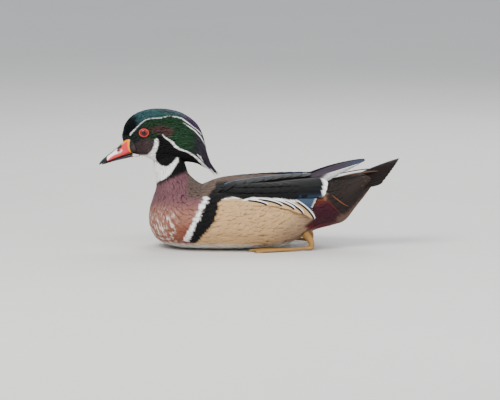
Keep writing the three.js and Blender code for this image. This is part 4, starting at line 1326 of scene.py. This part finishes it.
def primary_tint(points, t, u, luck):
    """Grey purple with blue towards the end, partly its own iridescence and partly painted sheen, and a
    silvery outer web, both by smooth steps of the shares along and across."""
    flat_t, flat_u = t.ravel(), u.ravel()
    # The blue towards the end is partly the feather's iridescence and partly painted sheen
    colour = blend(plain(PRIMARY_GREY * 0.55, t.size), WING_BLUE_AND_SHEEN * 0.6, ramp(flat_t, 0.55, 0.85) * 0.35)
    white = ramp(-flat_u, 0.82, 0.88) * ramp(flat_t, 0.3, 0.45) * (1 - ramp(flat_t, 0.84, 0.9))
    return blend(colour, WHITE, white), np.stack([0.55 * (1 - white), 0 * white, luck.ravel()], -1)


def row(plumes, roots, tips, width, lifts, tint, corner, patch=0.02, bow=0.0, **shape):
    """Feathers laid on the folded form from root and tip in the picture's plane."""
    roots, tips = seen_places(roots), seen_places(tips)
    long = length_between(skin(FOLDED, *roots.T), skin(FOLDED, *tips.T))
    plumes.add(
        laid(FOLDED, roots, tips, lifts, bow), long, np.broadcast_to(width, len(roots)), tint,
        unwrap_row(corner[0], patch * 1.2, len(roots), corner[1]), patch=patch, **shape,
    )


def wing_row(plumes, ends, steps, count, width, lifts, tint, height, blunt, raised=0.0):
    """A row of broad feathers on the folded wing: the first one's root and tip, and even steps
    from them to the next ones'. Raised lifts the tips in the picture, and the roots by half."""
    k = np.arange(count)[:, None]
    roots, tips = (np.asarray(end, float) + k * np.asarray(step, float) for end, step in zip(ends, steps))
    roots, tips = roots + raised * 0.5, tips + raised
    row(plumes, roots, tips, width, lifts, tint, (0.05, height), blunt=blunt, **BROAD)


def under_rows():
    """The wing's deepest rows: secondaries with white ends, coverts whose hind ones are raised,
    and three broad tertials, each next one standing further out at its tip."""
    plumes = Plumage()
    secondary = tipped(SPECULUM, WHITE, 0.975, 0.55)
    wing_row(plumes, SECONDARY_ROW, ((-0.7, 1.7), (0.8, 1.7)), 8, 8, (-2.6, -1.5), secondary, 0.05, 5)
    raised = np.interp(np.arange(8), [3.5, 5, 7], [0, 2.6, 4.0])[:, None] * [0, 1]
    covert = one_colour(WING_BLACK, 0.25)
    wing_row(plumes, COVERT_ROW, ((10.6, 0.2), (10.6, -0.2)), 8, 11, (-2.4, -1.1), covert, 0.1, 2.8, raised)
    lifts = np.stack([np.full(3, -2.2), np.linspace(-1.1, -0.6, 3)], -1)
    wing_row(plumes, TERTIAL_ROW, ((-1.2, 3.2), (0.9, 4.4)), 3, 22, lifts, tertial_tint, 0.15, 7)
    return plumes


def upper_rows():
    """The wing's upper rows: two black ones, and two along its upper edge with blue rims that are partly
    iridescence and partly painted glint.
    """
    plumes = Plumage()
    low, middle = one_colour(WING_BLACK, 0.4), one_colour(WING_BLACK, 0.5)
    wing_row(plumes, LOW_ROW, ((10.4, 0.1), (10.4, 0.1)), 9, 12, (-2.2, -0.8), low, 0.2, 2.6)
    wing_row(plumes, MIDDLE_ROW, ((10.4, 0.3), (10.4, 0.3)), 9, 12, (-2.0, -0.6), middle, 0.25, 2.4)
    root_x = np.linspace(-42, 48, GLOSSY_COUNT)
    tip_x = root_x + GLOSSY_LONG
    # Each glossy feather's upper rim turns blue: partly the wing's iridescence, partly a painted glint
    for turn, gloss, lift in ((0.11, 0.7, -0.45), (0.03, 0.85, -0.25)):
        roots = np.stack([folded_rung(root_x), wing_edges(root_x)[0] + turn + 0.06 + 0.03], -1)
        tips = np.stack([folded_rung(tip_x), wing_edges(tip_x)[0] + turn + 0.05], -1)
        sizes = (np.full(GLOSSY_COUNT, size) for size in (float(GLOSSY_LONG), GLOSSY_WIDE))
        plumes.add(
            laid(FOLDED, roots, tips, (-2.0, lift)), *sizes, rimmed(WING_BLACK, WING_BLUE_AND_SHEEN, gloss),
            unwrap_row(0.05, 0.03, GLOSSY_COUNT, 0.3 + turn), blunt=2.4, patch=0.02, **BROAD,
        )
    return plumes


def primaries():
    """The folded primaries, which stand free past the wing, each next one a little shorter and
    under the last."""
    plumes = Plumage()
    k = np.arange(PRIMARY_COUNT)[:, None]
    face = np.array(PRIMARY_FACE)
    roots = np.array(PRIMARY_ROOT) + k * PRIMARY_ROOT_STEP - face * PRIMARY_APART * k
    tips = np.array(PRIMARY_TIP) + k * PRIMARY_TIP_STEP - face * PRIMARY_APART * k
    long, wide = np.full(PRIMARY_COUNT, PRIMARY_LONG), np.full(PRIMARY_COUNT, PRIMARY_WIDE)
    plumes.add(
        free(roots, tips, plain(face, PRIMARY_COUNT), 1.2), long, wide, primary_tint,
        unwrap_row(0.05, 0.05, PRIMARY_COUNT, 0.5),
        blunt=2.2, patch=0.04, stations=22, columns=17, thick=0.35, camber=0.03,
    )
    return plumes


def wing_bed():
    """The dark plate that the wing's rows lie on: the folded form between the wing's edges, at
    one depth on its outside and another on its inside."""
    share = np.linspace(0, 1, WING_BED_STEPS)
    x = WING_FRONT + (WING_BACK - WING_FRONT) * share[:, None]
    top, bottom = wing_edges(x)
    across = np.concatenate([share, share[::-1]])[None]
    depth = np.repeat(WING_BED_DEPTHS, WING_BED_STEPS)[None, :, None]
    s = folded_rung(x) + 0 * across
    angle = top + 0.05 + (bottom - top - 0.1) * across
    return tube(skin(FOLDED, s, angle) + frame_at(FOLDED, s, angle)[2] * depth)


def make_wings(material):
    """Both folded wings, the right one a mirror image of the left."""
    parts = (("under", under_rows()), ("upper", upper_rows()), ("primaries", primaries()))
    bed, faces = wing_bed()
    # The plate is the wing's black made darker still: the wing's own black, with painted shade where it
    # shows between the rows
    plate = {"tint": WING_BLACK * 0.6, "finish": [0.1, 0, 0.5], "vane": 0, "share": 0}
    for side, flip in (("left", 1), ("right", -1)):
        for name, plumes in parts:
            shown = plumes if flip > 0 else plumes.mirrored()
            replaced = (f"wing_{side}",) if name == "upper" else ()
            shown.piece(f"wing_{side}_{name}", "wing", material, replaced)
        mesh_piece(
            f"wing_{side}_bed", bed * [1, flip, 1], faces[:, ::flip], "wing", material, (),
            {key: 0 * bed + value for key, value in plate.items()},
        )


def make_flank_vanes(material):
    """The long flank feathers that lie over the wing's lower edge, with white bands."""

    def buff(points, t, u, luck):
        """Buff, covered by white and by the wing's black across the wing's lower edge."""
        white, wing = flank_edge(picture(points.reshape(-1, 3)))
        colour = plain(BUFF, t.size) * (1 + 0.1 * (luck.reshape(-1, 1) - 0.5))
        colour = blend(blend(colour, WHITE, white), WING_BLACK, wing)
        return colour, np.stack([0 * white, 0.8 * (1 - np.maximum(white, wing)), luck.ravel()], -1)

    plumes = Plumage()
    row(
        plumes, FLANK_ROOTS, FLANK_TIPS, FLANK_WIDTHS, (-1.3, 0.1), buff, (0.05, 0.05), patch=0.05,
        bow=-0.035, blunt=2.2, stations=22, columns=11, thick=0.3, camber=0.03,
    )
    plumes.piece("flank_vanes_left", "body", material)
    plumes.mirrored().piece("flank_vanes_right", "body", material)


# Tail and side plumes


def tail_fan(t, v):
    """Points of the tail's fan for a share t along it and v across it, from -1 to 1: straight
    from root to tip, with its sides lower and shorter by the square of v."""
    (x0, y0, z0), (x1, y1, z1) = TAIL_ROOT, TAIL_TIP
    arch = TAIL_ARCH[0] + (TAIL_ARCH[1] - TAIL_ARCH[0]) * t
    return np.stack([
        x0 + (x1 - TAIL_STEP * v * v - x0) * t,
        (y0 + (y1 - y0) * t) * v,
        z0 + (z1 - z0) * t - arch * v * v,
    ], -1)


def tail_tint(points, t, u, luck):
    """Near black, browner at the very tip and a little along the rims, by smooth steps."""
    rim = np.maximum(ramp(t.ravel(), 0.97, 1), ramp(np.abs(u.ravel()), 0.85, 1) * 0.12)
    colour = blend(plain(TAIL_BLACK, t.size), TAIL_RIM, rim)
    return colour, np.stack([np.full(t.size, 0.35), np.zeros(t.size), luck.ravel()], -1)


def make_tail_feathers(material):
    """The tail's narrow vanes side by side on its fan, the outer ones a little lower, so that
    they lie one under the other."""
    v = np.linspace(-1, 1, TAIL_VANES)
    faces = np.stack([np.full(TAIL_VANES, -0.4), 0.75 * v, np.ones(TAIL_VANES)], -1)
    order = -0.5 * np.abs(v)[:, None] * [0, 0, 1]
    roots, tips = tail_fan(0 * v, v) + order, tail_fan(1 + 0 * v, v) + order
    plumes = Plumage()
    plumes.add(
        free(roots, tips, faces, 0.6), length_between(tips, roots), np.full(TAIL_VANES, TAIL_VANE_WIDE),
        tail_tint, unwrap_row(0.05, 0.035, TAIL_VANES, 0.05),
        blunt=4, stations=20, columns=9, thick=0.4, camber=0.04, patch=0.04,
    )
    plumes.piece("tail_feathers", "tail", material, ("tail",))


def make_tail_coverts(material):
    """Three rows of broad coverts over the tail's root, spread evenly by angle with some luck."""
    plumes = Plumage()
    for root_s, tip_s, count, reach in ((14.2, 17.6, 9, 1.5), (15.4, 18.4, 11, 1.9), (16.6, 19.4, 11, 2.4)):
        turn = np.linspace(-reach, reach, count) + rng.normal(0, 0.03, count)
        roots = np.stack([np.full(count, root_s), turn], -1)
        tips = np.stack([tip_s + rng.uniform(-0.2, 0.2, count), turn * 0.96], -1)
        plumes.add(
            laid(BODY, roots, tips, (-1.6, -0.1)), length_between(skin(BODY, *roots.T), skin(BODY, *tips.T)),
            np.full(count, 10.5), tipped(RUMP_BLACK, TAIL_RIM * 0.4, 0.95, 0.25),
            unwrap(BODY, roots[:, 0], roots[:, 1], 0.5),
            blunt=2.2, stations=12, columns=7, thick=0.3, camber=0.05,
        )
    plumes.piece("coat_tail_coverts", "rump", material)


def make_side_plumes(material):
    """The long thin plumes beside the rump, laid on it from point to point of the picture, and
    the one that stands free under the wing's tip."""
    plumes = Plumage()
    for k, (line, wide, colour) in enumerate(PLUMES):
        first, last = (on_ladder(BODY, x, height) for x, height in line)
        plumes.add(
            laid(BODY, first, last, (-0.4, 0.5)), np.array([math.dist(*line)]), np.array([wide]),
            one_colour(colour, 0.1), unwrap_row(0.3 + 0.03 * k, 0, 1, 0.95),
            blunt=1.5, stations=16, columns=5, thick=0.2, patch=0.02,
        )
    first, last = np.array(TAIL_STRAND)[:, None]
    plumes.add(
        free(first, last, np.array([[-0.1, -0.6, 1]]), 1.5), np.array([TAIL_STRAND_LONG]),
        np.array([TAIL_STRAND_WIDE]), one_colour(PLUME_BROWN, 0.1), unwrap_row(0.4, 0, 1, 0.95),
        blunt=2, stations=18, columns=5, thick=0.25, patch=0.02,
    )
    plumes.piece("side_plumes_left", "rump", material)
    plumes.mirrored().piece("side_plumes_right", "rump", material)


# Bill


def bill_tint(p):
    """Red at the base and along the edge, white on the side, black ridge and nail, and a yellow
    rim before the face's feathers, whose colours it has behind their edge. Lines across the
    picture, smooth steps beside them and the insides of outlines bound the colours."""
    at = picture(p)
    x, h = at.T
    grain = noise(p, 3, 11)
    white = within(at + 0.3 * grain[:, None], AREA_BILL_WHITE, 1.6)
    colour = blend(plain(BILL_RED, len(p)), BILL_WHITE, white)
    inside = np.interp(x, *BILL_RIDGE_HALF) - np.abs(p[:, 1]) + 0.2 * grain
    black = ramp(inside, -0.5, 0.5) * ramp(h - np.interp(x, *BILL_RIDGE) + 4.5, 0, 1.2)
    colour = blend(colour, RIDGE_BLACK, black * ramp(-x, 142.5, 145))
    colour = blend(colour, NAIL_BLACK, ramp(-x + 0.4 * grain - 0.2 * (h - 100), 168.6, 169.6))
    colour = blend(colour, RIDGE_GREY, within(at, AREA_BILL_RIDGE, 0.8))
    (x0, h0), (x1, h1) = FOREHEAD_EDGE
    rim = bill_edge(h) - np.interp(h, *BILL_RIM_WIDE)
    crown = h0 + (h1 - h0) / (x1 - x0) * (x - x0) - 2.2
    yellow = np.maximum(ramp(x - rim, -0.5, 0.3), ramp(h - crown, -0.4, 0.5) * ramp(x, x0 - 2, x0))
    colour = blend(colour, BILL_YELLOW, yellow)
    return blend(colour, head_tint(p)[0], ramp(behind_bill_edge(p), 0.1, 0.6))


def horn_material():
    """The bill's horn: the colour of each point, clouded and pitted by two sizes of grain."""
    net = Net("bill_horn", Specular_IOR_Level=0.3, Coat_Weight=0.12, Coat_Roughness=0.2)
    tint = net.attribute("tint")
    fine = net.grain(420.0, 4.0)
    broad = net.grain(90.0)
    net.set("Base Color", net.shade(tint, 0.9 + fine * 0.14 + broad * 0.08))
    net.set("Roughness", 0.3 + fine * 0.18)
    net.set("Normal", net.bump(fine + broad, 0.00015, 0.35))
    return net.material


def make_bill():
    """The horn of both halves. The upper one is its ladder with two nostrils, ovals sunk by a
    smooth step of the distance from their middle and raised by a bell curve round their rim,
    and with a nail that stands out by a smooth step at the tip."""
    horn = horn_material()
    s = np.linspace(0, BILL_END, 150)[:, None]
    angle = np.linspace(0, 2 * math.pi, 140, endpoint=False)[None]
    p = skin(BILL, s, angle)
    normal = frame_at(BILL, np.clip(s, 0.01, BILL_END - 0.02) + 0 * angle, angle + 0 * s)[2]
    dx, dz = p[..., 0] - NOSTRIL_AT[0], p[..., 2] - NOSTRIL_AT[1]
    major = (dx * math.cos(NOSTRIL_SLANT) + dz * math.sin(NOSTRIL_SLANT)) / NOSTRIL_SIZE[0]
    minor = (dz * math.cos(NOSTRIL_SLANT) - dx * math.sin(NOSTRIL_SLANT)) / NOSTRIL_SIZE[1]
    out = np.hypot(major, minor)
    side = np.abs(np.sin(angle)) > 0.3
    dent = -NOSTRIL_DEPTH * (1 - ramp(out, 0.6, 1.0)) + NOSTRIL_LIP * np.exp(-((out - 1.35) / 0.3) ** 2)
    nail = ramp(-p[..., 0], 170.5, 172.5) * ramp(np.cos(angle), 0.2, 0.6)
    rise = np.minimum(1.1 * NAIL_RISE * nail, NAIL_RISE)
    verts, faces = tube(p + normal * (np.where(side, dent, 0) + HORN_OUT + rise)[..., None])
    hole = (1 - ramp(out, 0.55, 0.95)) * side
    tint = blend(bill_tint(verts), NOSTRIL_BROWN, hole.ravel())
    mesh_piece("bill_upper_horn", verts, faces, "bill", horn, ("bill_upper",), {"tint": tint})
    verts, faces = tube(ladder_grid(LOWER_BILL, 90, 80, HORN_OUT, len(LOWER_BILL) - 1))
    tint = blend(plain(JAW_BLACK, len(verts)), JAW_RED, ramp(verts[:, 0], -142, -134))
    mesh_piece("bill_lower_horn", verts, faces, "jaw", horn, ("bill_lower",), {"tint": tint})


# Eyes and lids


def eye_material():
    """Black pupil, red iris with streaks, a sine of the turn round the eye, and a dark edge, by
    the distance from the eye's axis."""
    wet = {"Coat_Weight": 0.7, "Coat_IOR": 1.33, "Coat_Roughness": 0.03}
    eye = Net("eye", **wet, Roughness=0.3, Specular_IOR_Level=0.15)
    radius, turn, _ = eye.axes(eye.attribute("iris"))
    streak = (turn * 46.0 + eye.grain(1400.0) * 6.0).sine()
    iris = eye.mix(radius.step(PUPIL_RADIUS, IRIS_RADIUS), IRIS_INNER, IRIS_OUTER)
    iris = eye.shade(iris, 1.0 + streak * 0.16)
    colour = eye.mix(1 - radius.step(PUPIL_RADIUS - 0.1, PUPIL_RADIUS + 0.15), iris, PUPIL)
    edge = radius.step(IRIS_RADIUS - 0.15, IRIS_RADIUS + 0.25)
    eye.set("Base Color", eye.mix(edge, colour, IRIS_EDGE))
    return eye.material


def lid_material():
    """Red skin, clouded and pitted by a fine grain."""
    rim = Net("eyelid", Coat_Weight=0.15)
    fine = rim.grain(1100.0)
    rim.set("Base Color", rim.mix(fine, LID_DARK, LID_LIGHT))
    rim.set("Roughness", 0.38 + fine * 0.2)
    rim.set("Normal", rim.bump(fine, 0.00025, 0.6))
    return rim.material


def eyeball():
    """A ball whose front bulges by a bell curve of the angle from its axis, and the distance
    from the axis and the turn round it for every point."""
    u = np.linspace(0, math.pi, 40)[:, None]
    w = np.linspace(0, 2 * math.pi, 64, endpoint=False)[None]
    out = np.stack([np.sin(u) * np.cos(w), -np.cos(u) + 0 * w, np.sin(u) * np.sin(w)], -1)
    bulge = 1 + 0.04 * np.exp(-(u / 0.75) ** 2)
    ball = out * (EYE_RADIUS * bulge + 0 * w)[..., None]
    behind = 20 * (ball[..., 1].ravel() > 0)
    radial = np.hypot(ball[..., 0], ball[..., 2]).ravel() + behind
    turned = np.arctan2(ball[..., 2], ball[..., 0]).ravel()
    return ball, np.stack([radial, turned, 0 * turned], -1)


def lid_ring():
    """A ring round the eye, a little longer than high, whose round section swells in folds, a
    sine of the turn round the eye."""
    ring = np.linspace(0, 2 * math.pi, 96, endpoint=False)[:, None]
    turn = np.linspace(0, 2 * math.pi, 20, endpoint=False)[None]
    almond = LID_RADIUS * (1 + 0.05 * np.cos(2 * ring))
    fold = LID_THICK * (1 + 0.08 * np.sin(22 * ring) * np.cos(turn))
    around = almond + fold * np.cos(turn)
    outwards = fold * np.sin(turn) * 0.9 + 0 * ring
    return np.stack([around * np.cos(ring), outwards, around * np.sin(ring) * 0.93], -1)


def ring_faces(rows, columns):
    """Quads of a ring of rings, closed both ways."""
    r, c = np.meshgrid(np.arange(rows), np.arange(columns), indexing="ij")
    r1, c1 = (r + 1) % rows, (c + 1) % columns
    corners = [r * columns + c, r * columns + c1, r1 * columns + c1, r1 * columns + c]
    return np.stack(corners, -1).reshape(-1, 4)


def make_eyes():
    """Both eyes and their lids, seated where the picture shows the eye on the head's form."""
    slope = math.radians(VIEW_SLOPE)
    height = EYE_AT[1] * math.cos(slope) - EYE_HALF_WIDTH * math.sin(slope)
    side = skin(HEAD, *on_ladder(HEAD, EYE_AT[0], height)[0])[1]
    middle = np.array([EYE_AT[0], side + EYE_RADIUS - EYE_OUT, EYE_AT[1]])
    seat = np.array([EYE_AT[0], side - LID_SUNK, EYE_AT[1]])
    ball, iris = eyeball()
    lid = lid_ring()
    eye, rim = eye_material(), lid_material()
    for name, sign in (("left", 1), ("right", -1)):
        flip = [1, sign, 1]
        verts, faces = tube((ball + middle) * flip)
        mesh_piece(f"eye_{name}_ball", verts, faces, "eye", eye, (f"eye_{name}",), {"iris": iris})
        verts = ((lid + seat) * flip).reshape(-1, 3)
        mesh_piece(f"lid_{name}", verts, outward(verts, ring_faces(*lid.shape[:2])), "crown", rim)


# Legs and feet


def limb(stations, columns=24, ribs=0.0):
    """A round tube along a smooth curve through points with radii, with ribs across its top: the
    radius swells by a sine of the way along, times the sine of the turn where that is up."""
    stations = np.asarray(stations, float)
    k = np.linspace(0, len(stations) - 1, 14 * (len(stations) - 1) + 1)
    line = rung_at(stations, k)
    way = np.gradient(line[:, :3], axis=0)
    way /= np.linalg.norm(way, axis=1, keepdims=True)
    side = np.stack([-way[:, 1], way[:, 0], 0 * way[:, 0]], -1)
    side /= np.linalg.norm(side, axis=1, keepdims=True)
    up = np.cross(way, side)
    up *= np.sign(up[:, 2:3] + 1e-9)
    turn = np.linspace(0, 2 * math.pi, columns, endpoint=False)[None]
    run = np.concatenate([[0], np.cumsum(np.linalg.norm(np.diff(line[:, :3], axis=0), axis=1))])[:, None]
    radius = line[:, 3:4] * (1 + ribs * np.abs(np.sin(run * math.pi / 2.0)) * np.clip(np.sin(turn), 0, 1))
    p = line[:, None, :3] + side[:, None] * (radius * np.cos(turn))[..., None]
    p = p + up[:, None] * (radius * np.sin(turn))[..., None]
    p[..., 2] = np.maximum(p[..., 2], SOLE)
    return tube(p)


def foot_materials():
    """Ochre scales with dark seams, from the distance to the edges of a cell pattern, thin brown
    web and near black claws, all clouded by grain."""
    net = Net("leg_scales", Coat_Weight=0.1)
    cells = net.node(
        "ShaderNodeTexVoronoi", {"feature": "DISTANCE_TO_EDGE"}, {"Vector": net.place(), "Scale": 900.0},
    )
    fine = net.grain(500.0)
    seam = cells.step(0.0, 0.1)
    colour = net.mix(fine, LEG_OCHRE, LEG_BROWN)
    net.set("Base Color", net.mix(1 - seam, colour, LEG_SEAM))
    net.set("Roughness", 0.42 + fine * 0.2)
    net.set("Normal", net.bump(seam + fine * 0.3, 0.0002, 0.6))
    web = Net("web", Coat_Weight=0.05)
    fine = web.grain(700.0, 4.0)
    web.set("Base Color", web.mix(fine, WEB_DARK, WEB_OCHRE))
    web.set("Roughness", 0.5 + fine * 0.2)
    web.set("Normal", web.bump(fine, 0.0002, 0.5))
    claw = Net("claw", Coat_Weight=0.3)
    claw.set("Base Color", claw.mix(claw.grain(800.0), CLAW_DARK, CLAW_LIGHT))
    claw.set("Roughness", 0.3 + claw.grain(800.0) * 0.2)
    return net.material, web.material, claw.material


def make_shank():
    """The leg from the toe joint up to where it goes into the belly."""
    jx, jy, jz = TOE_JOINT
    hx, hy, hz = HOCK
    return limb([
        [jx - 1, jy, jz, 1.9], [jx + 9, jy + 1.6, jz + 0.2, 1.8], [hx - 9, hy - 1.8, hz - 0.7, 2.0],
        [hx - 1, hy, hz, 2.9], [hx - 1, hy + 1, hz + 7, 3.6], [hx - 8, hy + 5, hz + 16, 5.2],
    ], ribs=0.05)


def make_toes():
    """Three toes forwards and a short one back, each with a claw that runs out of its end."""
    jx, jy, jz = TOE_JOINT
    toes, claws = [], []
    for dx, dy, radius in TOES:
        toes.append(limb([
            [jx + 1, jy, jz, radius],
            [jx + dx * 0.3, jy + dy * 0.36, jz, radius * 0.95],
            [jx + dx * 0.55, jy + dy * 0.6, jz - 0.1, radius],
            [jx + dx * 0.8, jy + dy * 0.83, jz - 0.3, radius * 0.82],
            [jx + dx * 0.95, jy + dy * 0.95, 1.5, radius * 0.62],
        ], ribs=0.06))
        claws.append(limb([
            [jx + dx * 0.95 + 0.6, jy + dy * 0.95, 1.6, 0.95],
            [jx + dx * 0.985, jy + dy * 0.985, 1.5, 0.7],
            [jx + dx, jy + dy, 0.5, 0.12],
        ], 14))
    hind = [[jx + 1, jy + 1, jz, 1.3], [jx + 5, jy + 6, 1.5, 1.1], [jx + 7, jy + 8.4, 1.1, 0.7]]
    toes.append(limb(hind, 16))
    claws.append(limb([[jx + 6.8, jy + 8, 1.1, 0.6], [jx + 8, jy + 9.4, 0.5, 0.12]], 12))
    return toes, claws


def make_webs():
    """The webs between neighbouring toes: a share a of the way out from the joint, towards a
    share b of the way from toe to toe. The outer edge is drawn in by a sine of b, and the web
    sags by the same sine and ripples by a faster one."""
    jx, jy, _ = TOE_JOINT
    a = np.linspace(0, 1, WEB_STEPS)[:, None]
    b = np.linspace(0, 1, WEB_STEPS)[None]
    webs = []
    for (ax, ay, _), (bx, by, _) in zip(TOES, TOES[1:]):
        reach = 0.83 - 0.14 * np.sin(math.pi * b)
        x = jx + (ax + (bx - ax) * b) * a * reach
        y = jy + (ay + (by - ay) * b) * a * reach
        z = WEB_HEIGHT + 0.25 * np.sin(b * 6 * math.pi) * a - 0.5 * np.sin(math.pi * b) * a
        top = np.stack([x, y, z], -1)
        webs.append(tube(np.concatenate([top, (top - [0, 0, WEB_THICK])[:, ::-1]], 1)))
    return webs


def make_legs():
    """Both legs and feet, the right ones mirror images of the left."""
    scales, web, claw = foot_materials()
    toes, claws = make_toes()
    parts = (
        ("shank", [make_shank()], scales, "leg"), ("toes", toes, scales, "foot"),
        ("web", make_webs(), web, None), ("claws", claws, claw, None),
    )
    for side, flip in (("left", 1), ("right", -1)):
        for label, surfaces, material, node in parts:
            verts, quads = gather(surfaces)
            replaced = (f"{node}_{side}",) if node else ()
            mesh_piece(f"{label}_{side}", verts * [1, flip, 1], quads[:, ::flip], "foot", material, replaced)


# Floor, light and camera, in metres

FLOOR_HALF = 6.0
FLOOR_DROP = 0.0003
SKY = (0.80, 0.83, 0.88, 1)
SKY_STRENGTH = 0.95
LAMPS = (  # place, size, power and colour
    ("key", (-0.7, -1.1, 1.5), 1.0, 44, (1.0, 0.97, 0.93)),
    ("fill", (1.1, -0.9, 0.8), 1.2, 12, (0.93, 0.96, 1.0)),
    ("back", (0.3, 1.2, 1.2), 1.0, 16, (1.0, 0.98, 0.96)),
)
LAMP_AIM = 0.08  # how far above the floor the lamps point
CAMERA_AWAY = 6
CAMERA_AIM = (0.0011, 0.0556)  # x and height that the camera points at
CAMERA_LENS = 360
CAMERA_SENSOR = 36
CAMERA_END = 50


def make_floor():
    """A wide painted floor, a hair below the bird."""
    half = FLOOR_HALF
    mesh = bpy.data.meshes.new("floor")
    corners = [(-half, -half, 0), (half, -half, 0), (half, half, 0), (-half, half, 0)]
    mesh.from_pydata(corners, [], [(0, 1, 2, 3)])
    net = Net("floor_paint", Roughness=0.7)
    net.set("Base Color", net.mix(net.grain(3.0), FLOOR_DARK, FLOOR_LIGHT))
    mesh.materials.append(net.material)
    floor = bpy.data.objects.new("floor", mesh)
    floor.location.z = -FLOOR_DROP
    bpy.context.scene.collection.objects.link(floor)


def make_lights():
    """An even sky and three square lamps round the bird."""
    world = bpy.data.worlds.new("studio")
    world.use_nodes = True
    background = world.node_tree.nodes["Background"]
    background.inputs[0].default_value = SKY
    background.inputs[1].default_value = SKY_STRENGTH
    bpy.context.scene.world = world
    for name, place, size, power, colour in LAMPS:
        light = bpy.data.lights.new(name, "AREA")
        light.size = size
        light.energy = power
        light.color = colour
        lamp = bpy.data.objects.new(name, light)
        lamp.location = place
        aim = -lamp.location
        aim.z += LAMP_AIM
        lamp.rotation_euler = aim.to_track_quat("-Z", "Y").to_euler()
        bpy.context.scene.collection.objects.link(lamp)


def make_camera():
    """A long lens far away, looking down by the slope of the picture's view."""
    camera = bpy.data.cameras.new("camera")
    camera.lens = CAMERA_LENS
    camera.sensor_width = CAMERA_SENSOR
    camera.clip_end = CAMERA_END
    shot = bpy.data.objects.new("camera", camera)
    slope = math.radians(VIEW_SLOPE)
    x, height = CAMERA_AIM
    shot.location = (x, -CAMERA_AWAY * math.cos(slope), height + CAMERA_AWAY * math.sin(slope))
    shot.rotation_euler = (math.pi / 2 - slope, 0, 0)
    bpy.context.scene.collection.objects.link(shot)
    bpy.context.scene.camera = shot


make_floor()
make_lights()
make_camera()
plumage = plumage_material("plumage")
wing_plumage = plumage_material("wing_plumage", barb=2.0, shaft=1.0)
flank_plumage = plumage_material("flank_plumage", bands=flank_bands)
make_skin(plumage)
make_head_coat(plumage)
make_bill_base_coat(plumage)
make_crest(plumage)
make_body_coat(plumage)
make_wings(wing_plumage)
make_flank_vanes(flank_plumage)
make_tail_feathers(wing_plumage)
make_tail_coverts(wing_plumage)
make_side_plumes(wing_plumage)
make_bill()
make_eyes()
make_legs()
